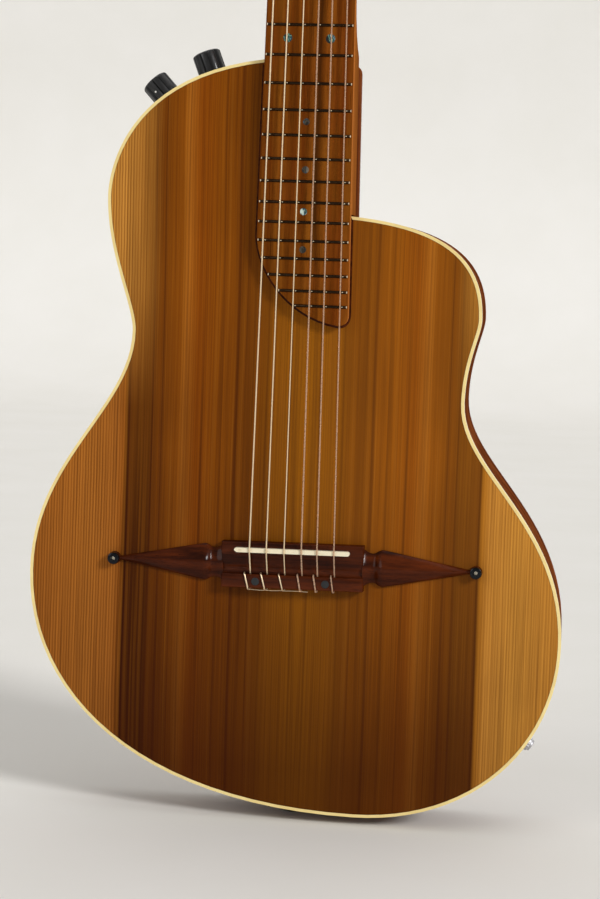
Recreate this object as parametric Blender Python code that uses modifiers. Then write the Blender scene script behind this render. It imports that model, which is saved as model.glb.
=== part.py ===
"""Nylon-string guitar with a single cutaway, standing upright: +Z up the neck, +X to the treble
side, the soundboard facing -Y. The origin is on the centreline, at mid-depth, under the tail."""
import math

import bmesh
import bpy
from mathutils import Matrix, Vector
from mathutils.geometry import interpolate_bezier

# Driving dimensions, metres
GAP = 0.0003                      # clearance between touching pieces
SCALE_LENGTH = 0.650
SADDLE_Z = 0.179                  # saddle above the lowest point of the body
BODY_DEPTH = 0.064
TOP_THICK = 0.0030
BACK_THICK = 0.0032
SIDE_THICK = 0.0026
BINDING_WIDTH = 0.0023
BINDING_DEPTH = 0.0060
LINING_WIDTH = 0.0060
LINING_DEPTH = 0.0120
CURVE_STEPS = 10                  # straight pieces in each stretch of the outline
CUT = 0.002                       # cutters run this far past the faces that they cut
TOP_BRACE_ENDS = (-0.0950, 0.0920)
TOP_BRACE_Z = 0.3045
TOP_BRACE_DEPTH = 0.0100
BACK_BRACE_ENDS = (-0.1200, 0.1200)
BACK_BRACE_Z = 0.2195
BACK_BRACE_DEPTH = 0.0120
BRACE_WIDTH = 0.0090

FRET_COUNT = 24
BOARD_THICK = 0.0070
BOARD_WIDTH_NUT = 0.0502
BOARD_WIDTH_12 = 0.0584
FRET_WIDTH = 0.0022
FRET_HEIGHT = 0.0010
FRET_INSET = 0.0008
BOARD_END_Z = 0.3290
SCOOP_START_Z = 0.3860
SCOOP_PULL = 0.0190               # how straight the carved end leaves the bass edge
SCOOP_LOW = (-0.0120, 0.0055)     # the curve's handle: x, and height above the board's end
TIP_WIDTH = 0.0066                # rounded corner of the board at the treble side
TIP_HEIGHT = 0.0075
SPINE_X = 0.0100                  # hidden strip that joins the frets
SPINE_HALF = 0.0007
SPINE_DEEP = 0.0015
PIN_HALF = 0.0005
PIN_LAP = 0.0002
FRET_CROWN = 0.45                 # share of a fret's width that is flat on top
NUT_THICK = 0.0060
NUT_RISE = 0.0012                 # string underside above the frets' tops at the nut
NUT_SHOULDER = 0.0006             # the nut's crest above the strings' undersides
STRING_SPREAD_NUT = 0.0415
STRING_SPREAD_SADDLE = 0.0562
STRING_RADII = (0.00055, 0.00050, 0.00043, 0.00052, 0.00050, 0.00045)

HEEL_DEPTH = 0.0280               # heel below the soundboard
HEEL_END_Z = 0.4020
SHELF_INSET = 0.0013              # the shelf's treble side stands under the neck's edge
SHELF_ROOM = 0.0040               # space kept beside the neck's heel
SHELF_TOP_Z = 0.5050
NECK_DEPTH_NUT = 0.0150
NECK_DEPTH_12 = 0.0170
# Where the heel rises to the neck: height above the shelf, rise of the back, its squareness
HEEL_RISE = ((0.0010, 0.0000, 40.0), (0.0060, 0.0012, 9.0), (0.0140, 0.0052, 5.0), (0.0250, 0.0090, 3.2))
NECK_SQUARENESS = 2.5             # 2 is an ellipse, more is squarer
NECK_12_ABOVE = 0.0450            # from the shelf to the neck's full curve
SHELF_CORNER_DROP = 0.0070        # the shelf's rounded corner
SHELF_CORNER_WIDTH = 0.0100
SHOULDER_DROP = 0.0040            # neck block's corner below the body's shoulder
SIDE_JOIN_SHARE = 0.35            # where the two sides meet behind the neck
SEAM_BAND = 0.0500                # the sides' seam at the tail is this near the lowest point

BRIDGE_BLOCK_WIDTH = 0.0965
BRIDGE_BLOCK_UP = 0.0050          # block above the saddle line
BRIDGE_BLOCK_DOWN = 0.0255
BRIDGE_HEIGHT = 0.0090
WING_START = 0.0585
WING_END = 0.1165
WING_DROP = 0.0100                # wing's centreline below the saddle line
WING_ROOT_WIDTH = 0.0245
WING_TIP_WIDTH = 0.0034
WING_HEIGHT = 0.0085
WING_TIP_HEIGHT = 0.0030
BRIDGE_BOLT_X = 0.1215
SADDLE_LENGTH = 0.0770
SADDLE_THICK = 0.0030
SADDLE_HEIGHT = 0.0122            # string underside above the soundboard
SADDLE_SEAT = 0.0034              # bottom of the saddle's slot above the soundboard
TIE_FRONT = 0.0164                # tie block's front face below the saddle line
TIE_FLOOR = 0.0046
TIE_HOLE = 0.0010
TIE_HOLE_HEIGHT = 0.0060
TIE_SLANT = -0.0048               # sideways lean of the loop over the tie block
TIE_STANDOFF = 0.0005
TIE_EASE = 0.0008
PLUG_XS = (-0.0244, 0.0224)
PLUG_RADIUS = 0.0026
PLUG_DROP = 0.0212
PLUG_DEPTH = 0.0012
PLUG_SUNK = 0.0001
BOLT_BOSS = 0.0042
BOLT_SOCKET = 0.0016
BOLT_SOCKET_FLOOR = 0.0010
BOLT_HEAD_HEIGHT = 0.0034
BOLT_EDGE = 0.0005
BOLT_LENGTH = 0.0120
BRIDGE_TURN = math.radians(-0.6)  # bass end further from the nut, for its heavier strings
BLOCK_CHAMFER = 0.0015
RAMP_START = -0.0035              # the slope between saddle and tie block, from the saddle line
RAMP_END = -0.0125
# Beyond the block's end: distance, width, height
BRIDGE_COVE = ((-0.0010, 0.0250, 0.0062), (0.0022, 0.0205, 0.0052), (0.0055, 0.0185, 0.0046),
               (0.0085, 0.0205, 0.0060))
WING_CREST = 0.0030               # from the wing's start to its full height
WING_EASE = 0.0008
LINK_HALF = 0.0014                # half width of the strip between wing and boss
LINK_DROP = 0.0004

HEAD_TILT = math.radians(-14.0)
HEAD_LENGTH = 0.1750
HEAD_WIDTH = 0.0720
HEAD_THICK = 0.0190
HEAD_ROOT = 0.0060                # straight sides above the nut before the head flares
HEAD_FLARE = 0.0200
HEAD_CROWN = 0.0220               # height of the rounded crown
HEAD_CROWN_X = 0.0200
HEAD_FOOT = 0.0080                # drawn past the nut's end before it is cut square
VENEER_THICK = 0.0018
SLOT_WIDTH = 0.0140
SLOT_INNER_X = 0.0100
SLOT_START = 0.0270
SLOT_END = 0.1430
POST_START = 0.0530
POST_SPACING = 0.0350
ROLLER_RADIUS = 0.0050
AXLE_RADIUS = 0.0030
PLATE_THICK = 0.0012
PLATE_WIDTH = 0.0162
PLATE_OFFSET = 0.0005
PLATE_BELOW = 0.0110              # plate's ends beyond the first and last post
PLATE_ABOVE = 0.0160
VENEER_DROP = 0.0030              # veneer's front below the fingerboard's surface
ROLLER_DEPTH = 0.0090             # roller's axis behind the veneer's front
ROLLER_CLEAR = 0.0005
AXLE_END = 0.0060
GEAR_TEETH = 12
GEAR_TIP = 0.0059
GEAR_ROOT = 0.00475
GEAR_THICK = 0.0020
WORM_PITCH = 0.0030
WORM_CENTRES = 0.00785            # between the gear's and the worm's axes
WORM_SHAFT = 0.0012
WORM_CORE = 0.0016
WORM_THREAD_AT = 0.0022
WORM_THREAD = 0.0006
WORM_POINTS = 15
WORM_TURNS = 1.6
WORM_X = HEAD_WIDTH / 2 + 2 * GAP + PLATE_THICK + WORM_THREAD_AT + WORM_THREAD
TAB_FRONT = 0.0020
TAB_BACK = 0.0146
TAB_THICK = 0.0018
TAB_REACH = 0.0052
TAB_HALF = 0.0027
TAB_LAP = 0.0004
HUB_STEP = 0.0010                 # roller axle's hub beside the worm wheel
BUTTON_STANDOFF = 0.0060           # button beyond the plate's rear tab
BUTTON_LENGTH = 0.0150
BUTTON_ROOT = 0.0040
BUTTON_BELLY = 0.0068
BUTTON_BELLY_AT = 0.0065
BUTTON_END = 0.0058
WORM_COLLAR = 0.0024
TURN_GAP = 0.0006
TURN_POINTS = 18
TURN_STEPS = 8                    # points in each turn of a string on its roller
TURN_LEAD = 0.25                  # radians before the roller's front where a string meets it
TURN_START_X = (0.0202, 0.0170, 0.0170)

KNOB_RADIUS = 0.0095
KNOB_HEIGHT = 0.0142
KNOB_FLUTES = 12
KNOB_FLUTE_DEPTH = 0.0009
KNOB_STANDOFF = 0.0014            # knob above the pot's nut
KNOB_CAP = 0.0010
SHAFT_GRIP = 0.0077               # length of the pot's shaft inside the knob
JACK_RADIUS = 0.0058
JACK_BORE = 0.00325
JACK_BARREL = 0.0046
JACK_LIP = 0.0040                 # barrel's end beyond the side
JACK_NUT = 0.0026
JACK_BODY = 0.0060
JACK_LENGTH = 0.0200
JACK_WALL = 0.0040
STRAP_RADIUS = 0.0070
STRAP_SCREW = 0.0019
STRAP_SCREW_LENGTH = 0.0260
STRAP_HEIGHT = 0.0085
STRAP_EDGE = 0.0010
STRAP_WAIST = 0.0039
STRAP_NECK = 0.0026               # narrowest stretch of the strap button, from the side
STRAP_FOOT = 0.0060
POT_RADIUS = 0.0034
POT_SHAFT = 0.0030
POT_NUT = 0.0018
POT_SHIM = 0.0018                 # the pot's body stands off the bent side's inner face
POT_NUT_RADIUS = 0.0052
POT_CAN = 0.0080
POT_DEPTH = 0.0100
BOLT_RADIUS = 0.0019
BOLT_HEAD = 0.0040
NECK_BOLT_RADIUS = 0.0030
NECK_BOLT_HEAD = 0.0050
NECK_BOLT_HEAD_HEIGHT = 0.0045
NECK_SOCKET = 0.0022
NECK_SOCKET_DEPTH = 0.0025
NECK_BOLT_SUNK = 0.0100           # seat of its head below the back
NECK_BOLT_PLACES = ((0.0, 0.430), (0.0, 0.475))
NECK_BOLT_GRIP = 0.014            # length of a neck bolt inside the heel
NECK_BLOCK_BELOW = 0.036
NECK_BLOCK_WALL = 0.016
END_BLOCK_TOP = 0.026
END_BLOCK_REACH = 0.050
PI = math.pi

# Derived planes, all along Y
TOP_Y = -BODY_DEPTH / 2
BACK_Y = BODY_DEPTH / 2
TOP_INNER_Y = TOP_Y + TOP_THICK
BACK_INNER_Y = BACK_Y - BACK_THICK
BOARD_BACK_Y = TOP_Y - GAP
BOARD_Y = BOARD_BACK_Y - BOARD_THICK
FRET_Y = BOARD_Y - FRET_HEIGHT
SHELF_Y = TOP_Y + HEEL_DEPTH
NUT_Z = SADDLE_Z + SCALE_LENGTH
BRIDGE_BACK_Y = TOP_Y - GAP
NECK_BOLT_SEAT = BACK_Y - NECK_BOLT_SUNK
BRIDGE_FRAME = (Matrix.Translation((0.0, 0.0, SADDLE_Z)) @ Matrix.Rotation(BRIDGE_TURN, 4, "Y")
                @ Matrix.Translation((0.0, 0.0, -SADDLE_Z)))

# Places on the rim and the back, as (x, z)
KNOB_PLACES = ((-0.1035, 0.4815), (-0.0715, 0.4985))
JACK_PLACE = (0.1610, 0.0500)
STRAP_X = -0.0010
COVER_CENTRE = (-0.0860, 0.4180)
COVER_SIZE = (0.0620, 0.0460)
COVER_THICK = 0.0020
COVER_LIP = 0.0050
COVER_SCREW_RADIUS = 0.0014
COVER_SCREW_BELOW = 0.0010        # screw's end inside the back
BATTERY = (0.0484, 0.0165, 0.0260)
PREAMP = (0.0480, 0.0110, 0.0320)
PREAMP_BELOW = 0.0080             # below the access cover's edge

# Body outline: name, x, z, direction of travel in degrees, handle before, handle after
OUTLINE_KNOTS = (
    ("shoulder", -0.0284, 0.5015, 187.5, 0.000, 0.104),
    ("upper_bass", -0.1325, 0.4100, -90.0, 0.003, 0.038),
    ("waist_bass", -0.1134, 0.3210, -90.0, 0.017, 0.052),
    ("lower_bass", -0.1799, 0.1560, -90.0, 0.077, 0.085),
    ("tail", 0.0457, 0.0000, 0.0, 0.148, 0.081),
    ("lower_treble", 0.1793, 0.1240, 90.0, 0.068, 0.081),
    ("waist_treble", 0.1092, 0.2810, 90.0, 0.045, 0.028),
    ("horn", 0.1186, 0.3360, 90.0, 0.010, 0.035),
    ("cutaway", 0.0308, 0.4010, 176.0, 0.070, 0.000),
)

scene = bpy.context.scene
for leftover in list(bpy.data.objects):
    bpy.data.objects.remove(leftover, do_unlink=True)
PARTS = bpy.data.collections.new("nylon_string_guitar")
CUTTERS = bpy.data.collections.new("cutters")
scene.collection.children.link(PARTS)
scene.collection.children.link(CUTTERS)


def material(name, colour, roughness, metallic=0.0):
    """A Principled material in linear colour."""
    made = bpy.data.materials.new(name)
    made.use_nodes = True
    shader = made.node_tree.nodes["Principled BSDF"]
    shader.inputs["Base Color"].default_value = (*colour, 1.0)
    shader.inputs["Roughness"].default_value = roughness
    shader.inputs["Metallic"].default_value = metallic
    made.diffuse_color = (*colour, 1.0)
    return made


def finish(obj, name, look, smooth_angle=None):
    """Names the object, gives it its own material and puts it with the parts."""
    colour, roughness, metallic = look
    obj.name = name
    obj.data.name = name
    obj.data.materials.clear()
    obj.data.materials.append(material(name + "_material", colour, roughness, metallic))
    for home in list(obj.users_collection):
        home.objects.unlink(obj)
    PARTS.objects.link(obj)
    if smooth_angle is not None:
        obj.data.shade_smooth()
        obj.data.set_sharp_from_angle(angle=math.radians(smooth_angle))
    return obj


def as_cutter(obj):
    obj.name = "cutter"
    obj.hide_render = True
    obj.display_type = "WIRE"
    for home in list(obj.users_collection):
        home.objects.unlink(obj)
    CUTTERS.objects.link(obj)
    return obj


def combine(obj, other, operation="DIFFERENCE"):
    """Cuts or joins another solid, which then stays as a hidden guide."""
    as_cutter(other)
    boolean = obj.modifiers.new(operation.lower(), "BOOLEAN")
    boolean.operation = operation
    boolean.solver = "EXACT"
    boolean.object = other
    return obj


def settle(obj):
    """Replaces a curve or a modified object with its evaluated, welded mesh."""
    bpy.context.view_layer.update()
    graph = bpy.context.evaluated_depsgraph_get()
    mesh = bpy.data.meshes.new_from_object(obj.evaluated_get(graph), depsgraph=graph)
    solid = bpy.data.objects.new(obj.name, mesh)
    solid.matrix_world = obj.matrix_world.copy()
    scene.collection.objects.link(solid)
    work = bmesh.new()
    work.from_mesh(mesh)
    bmesh.ops.remove_doubles(work, verts=work.verts, dist=0.000001)
    work.to_mesh(mesh)
    work.free()
    bpy.data.objects.remove(obj, do_unlink=True)
    return solid


def prism(loops, thickness, matrix):
    """A flat outline in its local XY plane, thickened both ways along Z; inner loops are holes."""
    curve = bpy.data.curves.new("outline", "CURVE")
    curve.dimensions = "2D"
    curve.fill_mode = "BOTH"
    curve.extrude = thickness / 2
    for loop in loops:
        spline = curve.splines.new("POLY")
        spline.points.add(len(loop) - 1)
        for point, (x, z) in zip(spline.points, loop):
            point.co = (x, z, 0.0, 1.0)
        spline.use_cyclic_u = True
    obj = bpy.data.objects.new("outline", curve)
    obj.matrix_world = matrix
    scene.collection.objects.link(obj)
    return settle(obj)


def flat_shape(loops, front_y, back_y):
    """A flat outline in the XZ plane, given thickness along Y."""
    place = Matrix.Translation((0.0, (front_y + back_y) / 2, 0.0)) @ Matrix.Rotation(PI / 2, 4, "X")
    return prism(loops, back_y - front_y, place)


def box(x_range, y_range, z_range):
    bpy.ops.mesh.primitive_cube_add(size=1.0)
    obj = bpy.context.object
    sizes = [high - low for low, high in (x_range, y_range, z_range)]
    centre = [(high + low) / 2 for low, high in (x_range, y_range, z_range)]
    obj.data.transform(Matrix.Translation(centre) @ Matrix.Diagonal((*sizes, 1.0)))
    return obj


def pose_along(start, direction):
    """A matrix whose Z axis runs along the direction, from the start."""
    turn = Vector(direction).to_track_quat("Z", "Y").to_matrix().to_4x4()
    return Matrix.Translation(start) @ turn


def rod(radius, start, end, sides=16):
    start = Vector(start)
    run = Vector(end) - start
    bpy.ops.mesh.primitive_cylinder_add(vertices=sides, radius=radius, depth=run.length)
    obj = bpy.context.object
    obj.data.transform(Matrix.Translation((0.0, 0.0, run.length / 2)))
    obj.matrix_world = pose_along(start, run)
    return obj


def turned(profile, matrix, steps=20):
    """A turned solid: (radius, height) pairs from top to bottom, ends closed on the axis."""
    mesh = bpy.data.meshes.new("profile")
    points = [(radius, 0.0, height) for radius, height in profile]
    mesh.from_pydata(points, [(i, i + 1) for i in range(len(points) - 1)], [])
    obj = bpy.data.objects.new("turned", mesh)
    scene.collection.objects.link(obj)
    screw = obj.modifiers.new("screw", "SCREW")
    screw.axis = "Z"
    screw.steps = steps
    screw.render_steps = steps
    screw.use_merge_vertices = True
    screw.merge_threshold = 0.00001
    screw.use_normal_calculate = False
    obj.matrix_world = matrix
    return obj


def wire(points, radius, resolution=1):
    """A tube through points, with filled ends."""
    curve = bpy.data.curves.new("wire", "CURVE")
    curve.dimensions = "3D"
    curve.bevel_depth = radius
    curve.bevel_resolution = resolution
    curve.use_fill_caps = True
    spline = curve.splines.new("POLY")
    spline.points.add(len(points) - 1)
    for point, place in zip(spline.points, points):
        point.co = (*place, 1.0)
    obj = bpy.data.objects.new("wire", curve)
    scene.collection.objects.link(obj)
    return settle(obj)


def heading(degrees):
    return Vector((math.cos(math.radians(degrees)), math.sin(math.radians(degrees))))


def half_board(z):
    """Half the fingerboard's width at a height, from its taper between nut and 12th fret."""
    share = (NUT_Z - z) / (SCALE_LENGTH / 2)
    return (BOARD_WIDTH_NUT + (BOARD_WIDTH_12 - BOARD_WIDTH_NUT) * share) / 2


def fret_z(number):
    return SADDLE_Z + SCALE_LENGTH * 2.0 ** (-number / 12.0)


def string_x(index, z):
    share = (z - SADDLE_Z) / SCALE_LENGTH
    spread = STRING_SPREAD_SADDLE + (STRING_SPREAD_NUT - STRING_SPREAD_SADDLE) * share
    return (index / 5.0 - 0.5) * spread


def body_outline():
    """The body's outer edge from the bass shoulder round the tail to the cutaway.

    Its two ends follow the neck's width, so they move with the fingerboard."""
    knots = [list(knot) for knot in OUTLINE_KNOTS]
    knots[0][1] = -half_board(knots[0][2]) - GAP
    knots[-1][1] = half_board(knots[-1][2]) - SHELF_INSET
    path = []
    for first, second in zip(knots[:-1], knots[1:]):
        start = Vector(first[1:3])
        end = Vector(second[1:3])
        handle_a = start + heading(first[3]) * first[5]
        handle_b = end - heading(second[3]) * second[4]
        stretch = interpolate_bezier(start, handle_a, handle_b, end, CURVE_STEPS + 1)
        path += [Vector(point[:2]) for point in stretch[:-1]]
    path.append(Vector(knots[-1][1:3]))
    return path


def shelf_outline():
    """The shelf's outer edge from the cutaway up the neck and back to the bass shoulder."""
    low = BODY_PATH[-1]
    corner_z = SHELF_TOP_Z - SHELF_CORNER_DROP
    side = Vector((half_board(corner_z) - SHELF_INSET, corner_z))
    crown = Vector((side.x - SHELF_CORNER_WIDTH, SHELF_TOP_Z))
    rise = Vector((0.0, SHELF_CORNER_DROP * 0.8))
    lead = Vector((SHELF_CORNER_WIDTH * 0.55, 0.0))
    corner = interpolate_bezier(side, side + rise, crown + lead, crown, 6)
    return [low] + [Vector(point[:2]) for point in corner] + [BODY_PATH[0]]


def offset(path, distance, closed=False):
    """The path moved to its left, into the body, with mitred corners."""
    moved = []
    count = len(path)
    for index, point in enumerate(path):
        before = path[index - 1] if index > 0 or closed else None
        after = path[(index + 1) % count] if index < count - 1 or closed else None
        sides = []
        if before is not None:
            sides.append((point - before).normalized())
        if after is not None:
            sides.append((after - point).normalized())
        normals = [Vector((-side.y, side.x)) for side in sides]
        mean = sum(normals, Vector((0.0, 0.0))).normalized()
        moved.append(point + mean * distance / max(mean.dot(normals[0]), 0.3))
    return moved


def band(path, near, far):
    """A closed strip between two offsets of a path."""
    return offset(path, near) + list(reversed(offset(path, far)))


BODY_PATH = body_outline()
SHELF_PATH = shelf_outline()
BACK_PATH = BODY_PATH + SHELF_PATH[1:-1]

# Looks: linear colour, roughness, metallic
TOP_WOOD = ((0.33, 0.14, 0.03), 0.30, 0.0)
SIDE_WOOD = ((0.16, 0.06, 0.025), 0.35, 0.0)
NECK_WOOD = ((0.26, 0.11, 0.05), 0.40, 0.0)
SPRUCE = ((0.60, 0.42, 0.22), 0.60, 0.0)
ROSEWOOD = ((0.055, 0.018, 0.010), 0.35, 0.0)
BOARD_WOOD = ((0.15, 0.055, 0.025), 0.45, 0.0)
CREAM = ((0.80, 0.66, 0.38), 0.35, 0.0)
BONE = ((0.86, 0.80, 0.66), 0.35, 0.0)
BLACK = ((0.010, 0.010, 0.011), 0.25, 0.0)
NICKEL = ((0.62, 0.60, 0.55), 0.20, 1.0)
CHROME = ((0.75, 0.75, 0.76), 0.12, 1.0)
BRASS = ((0.70, 0.50, 0.20), 0.25, 1.0)
BLACK_STEEL = ((0.02, 0.02, 0.022), 0.35, 1.0)
PEARL = ((0.80, 0.78, 0.70), 0.20, 0.0)
WOUND = ((0.72, 0.69, 0.62), 0.30, 1.0)
NYLON = ((0.80, 0.68, 0.60), 0.25, 0.0)

POCKET_Z = HEEL_END_Z - GAP


def pocket_x(z):
    return half_board(z) + GAP


def nearest_on_outline(x, z):
    """The outline's point nearest a place, and the direction out of the body there."""
    best = None
    for first, second in zip(BODY_PATH[:-1], BODY_PATH[1:]):
        run = second - first
        share = max(0.0, min(1.0, (Vector((x, z)) - first).dot(run) / run.length_squared))
        point = first + run * share
        distance = (Vector((x, z)) - point).length
        if best is None or distance < best[0]:
            out = Vector((run.y, -run.x)).normalized()
            best = (distance, point, Vector((out.x, 0.0, out.y)))
    return Vector((best[1].x, 0.0, best[1].y)), best[2]


def top_plate():
    edge = offset(BODY_PATH, BINDING_WIDTH + GAP)
    edge[0] = Vector((-pocket_x(edge[0].y), edge[0].y))
    edge[-1] = Vector((half_board(POCKET_Z) - GAP, edge[-1].y))
    notch = [Vector((edge[-1].x, POCKET_Z)), Vector((-pocket_x(POCKET_Z), POCKET_Z))]
    plate = flat_shape([edge + notch], TOP_Y, TOP_INNER_Y)
    for side in (-1, 1):
        centre = BRIDGE_FRAME @ Vector((side * BRIDGE_BOLT_X, 0.0, SADDLE_Z - WING_DROP))
        hole = rod(BOLT_RADIUS + GAP, (centre.x, TOP_Y - CUT, centre.z),
                   (centre.x, TOP_INNER_Y + CUT, centre.z), 10)
        combine(plate, hole)
    finish(plate, "top_plate", TOP_WOOD)


def back_plate():
    opening = []
    for side_x, side_z in ((-1, -1), (1, -1), (1, 1), (-1, 1)):
        opening.append(Vector((COVER_CENTRE[0] + side_x * (COVER_SIZE[0] / 2 - COVER_LIP),
                               COVER_CENTRE[1] + side_z * (COVER_SIZE[1] / 2 - COVER_LIP))))
    plate = flat_shape([BACK_PATH, opening], BACK_INNER_Y, BACK_Y)
    half_x = COVER_SIZE[0] / 2 + GAP
    half_z = COVER_SIZE[1] / 2 + GAP
    recess = box((COVER_CENTRE[0] - half_x, COVER_CENTRE[0] + half_x),
                 (BACK_Y - COVER_THICK - GAP, BACK_Y + CUT),
                 (COVER_CENTRE[1] - half_z, COVER_CENTRE[1] + half_z))
    combine(plate, recess)
    for x, z in cover_screw_places():
        hole = rod(COVER_SCREW_RADIUS + GAP, (x, BACK_Y, z), (x, BACK_INNER_Y - CUT, z), 8)
        combine(plate, hole)
    for x, z in NECK_BOLT_PLACES:
        combine(plate, rod(NECK_BOLT_HEAD + GAP, (x, BACK_Y + CUT, z), (x, BACK_INNER_Y - CUT, z), 12))
    finish(plate, "back_plate", SIDE_WOOD)


def cover_screw_places():
    reach = COVER_SIZE[0] / 2 - COVER_LIP / 2
    return [(COVER_CENTRE[0] + side * reach, COVER_CENTRE[1]) for side in (-1, 1)]


def access_cover():
    half_x, half_z = COVER_SIZE[0] / 2, COVER_SIZE[1] / 2
    cover = box((COVER_CENTRE[0] - half_x, COVER_CENTRE[0] + half_x), (BACK_Y - COVER_THICK, BACK_Y),
                (COVER_CENTRE[1] - half_z, COVER_CENTRE[1] + half_z))
    for index, (x, z) in enumerate(cover_screw_places()):
        combine(cover, rod(COVER_SCREW_RADIUS + GAP, (x, BACK_Y + CUT, z),
                           (x, BACK_Y - COVER_THICK - CUT, z), 8))
        screw = rod(COVER_SCREW_RADIUS, (x, BACK_Y, z), (x, BACK_INNER_Y - COVER_SCREW_BELOW, z), 8)
        finish(screw, f"cover_screw_{index + 1}", BLACK_STEEL, 40)
    finish(cover, "access_cover", BLACK)


def through_side(radius, point, out):
    """A cutter for a hole through the bent side at a point of the outline."""
    return rod(radius + GAP, point + out * 2 * CUT, point - out * (SIDE_THICK + 2 * CUT), 12)


def sides():
    """The bent sides: full depth round the body, lower where the neck lies on its shelf."""
    low = min(point.y for point in BODY_PATH) + SEAM_BAND
    seam = next(i for i, point in enumerate(BODY_PATH) if point.y < low and point.x > 0.0)
    crown, shoulder = SHELF_PATH[-2], SHELF_PATH[-1]
    middle = crown.lerp(shoulder, SIDE_JOIN_SHARE)
    seam_gap = Vector((GAP / 2, 0.0))
    tail = BODY_PATH[seam]
    bass = [middle - seam_gap] + BODY_PATH[:seam] + [tail - seam_gap]
    treble = [tail + seam_gap] + BODY_PATH[seam + 1:] + SHELF_PATH[1:-1] + [middle + seam_gap]
    front_y = TOP_Y + BINDING_DEPTH + GAP
    made = {}
    for name, path in (("side_bass", bass), ("side_treble", treble)):
        strip = flat_shape([band(path, 0.0, SIDE_THICK)], front_y, BACK_INNER_Y - GAP)
        room = box((-pocket_x(SHELF_TOP_Z), half_board(POCKET_Z) + SHELF_ROOM),
                   (TOP_Y - CUT, SHELF_Y + GAP), (POCKET_Z, SHELF_TOP_Z + CUT))
        combine(strip, room)
        made[name] = strip
    for x, z in KNOB_PLACES:
        point, out = nearest_on_outline(x, z)
        combine(made["side_bass"], through_side(POT_RADIUS, point, out))
    point, out = nearest_on_outline(*JACK_PLACE)
    combine(made["side_treble"], through_side(JACK_BARREL, point, out))
    point, out = nearest_on_outline(STRAP_X, 0.0)
    combine(made["side_bass"], through_side(STRAP_SCREW, point, out))
    for name, strip in made.items():
        finish(strip, name, SIDE_WOOD, 30)


def binding():
    path = list(BODY_PATH)
    path[-1] = Vector((half_board(POCKET_Z), path[-1].y))
    loop = band(path, 0.0, BINDING_WIDTH)
    loop[-1].x = -pocket_x(loop[-1].y)
    strip = flat_shape([loop], TOP_Y, TOP_Y + BINDING_DEPTH)
    finish(strip, "top_binding", CREAM, 30)


def linings():
    path = BODY_PATH[1:-1]
    near = SIDE_THICK + GAP
    far = near + LINING_WIDTH
    ranges = {"top_lining": (TOP_INNER_Y + GAP, TOP_INNER_Y + GAP + LINING_DEPTH),
              "back_lining": (BACK_INNER_Y - GAP - LINING_DEPTH, BACK_INNER_Y - GAP)}
    for name, (front_y, back_y) in ranges.items():
        finish(flat_shape([band(path, near, far)], front_y, back_y), name, SPRUCE)


def neck_block():
    inset = SIDE_THICK + GAP
    wall = offset(SHELF_PATH, inset)
    low_z = HEEL_END_Z - NECK_BLOCK_BELOW
    left = -half_board(POCKET_Z) - NECK_BLOCK_WALL
    outline = [Vector((left, low_z)), Vector((wall[0].x, low_z))] + wall
    outline.append(Vector((left, wall[-1].y - SHOULDER_DROP)))
    block = flat_shape([outline], TOP_INNER_Y + GAP, BACK_INNER_Y - GAP)
    high, far = SHELF_TOP_Z + CUT, BOARD_WIDTH_12
    room = [Vector((-pocket_x(POCKET_Z), POCKET_Z)), Vector((far, POCKET_Z)), Vector((far, high)),
            Vector((-pocket_x(high), high))]
    combine(block, flat_shape([room], TOP_Y - CUT, SHELF_Y + GAP))
    for x, z in NECK_BOLT_PLACES:
        combine(block, rod(NECK_BOLT_RADIUS + GAP, (x, BACK_Y, z), (x, SHELF_Y - CUT, z), 10))
        combine(block, rod(NECK_BOLT_HEAD + GAP, (x, BACK_Y, z), (x, NECK_BOLT_SEAT, z), 12))
    finish(block, "neck_block", SIDE_WOOD)


def end_block():
    inset = SIDE_THICK + GAP
    path = [point for point in offset(BODY_PATH, inset)
            if abs(point.x) < END_BLOCK_REACH and point.y < END_BLOCK_REACH]
    outline = path + [Vector((path[-1].x, END_BLOCK_TOP)), Vector((path[0].x, END_BLOCK_TOP))]
    front_y = TOP_INNER_Y + LINING_DEPTH + 2 * GAP
    back_y = BACK_INNER_Y - LINING_DEPTH - 2 * GAP
    block = flat_shape([outline], front_y, back_y)
    point, out = nearest_on_outline(STRAP_X, 0.0)
    deep = STRAP_SCREW_LENGTH + 2 * CUT
    combine(block, rod(STRAP_SCREW + GAP, point + out * CUT, point - out * deep, 10))
    finish(block, "end_block", SPRUCE)


def braces():
    half = BRACE_WIDTH / 2
    front_y, back_y = TOP_INNER_Y + GAP, BACK_INNER_Y - GAP
    top = box(TOP_BRACE_ENDS, (front_y, front_y + TOP_BRACE_DEPTH), (TOP_BRACE_Z - half, TOP_BRACE_Z + half))
    finish(top, "top_brace", SPRUCE)
    back = box(BACK_BRACE_ENDS, (back_y - BACK_BRACE_DEPTH, back_y),
               (BACK_BRACE_Z - half, BACK_BRACE_Z + half))
    finish(back, "back_brace", SPRUCE)


def loft(rings):
    """A closed solid through rings of equally many points."""
    work = bmesh.new()
    layers = [[work.verts.new(point) for point in ring] for ring in rings]
    count = len(rings[0])
    for low, high in zip(layers[:-1], layers[1:]):
        for i in range(count):
            j = (i + 1) % count
            work.faces.new((low[i], low[j], high[j], high[i]))
    work.faces.new(list(reversed(layers[0])))
    work.faces.new(layers[-1])
    bmesh.ops.recalc_face_normals(work, faces=work.faces)
    mesh = bpy.data.meshes.new("loft")
    work.to_mesh(mesh)
    work.free()
    obj = bpy.data.objects.new("loft", mesh)
    scene.collection.objects.link(obj)
    return obj


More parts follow.
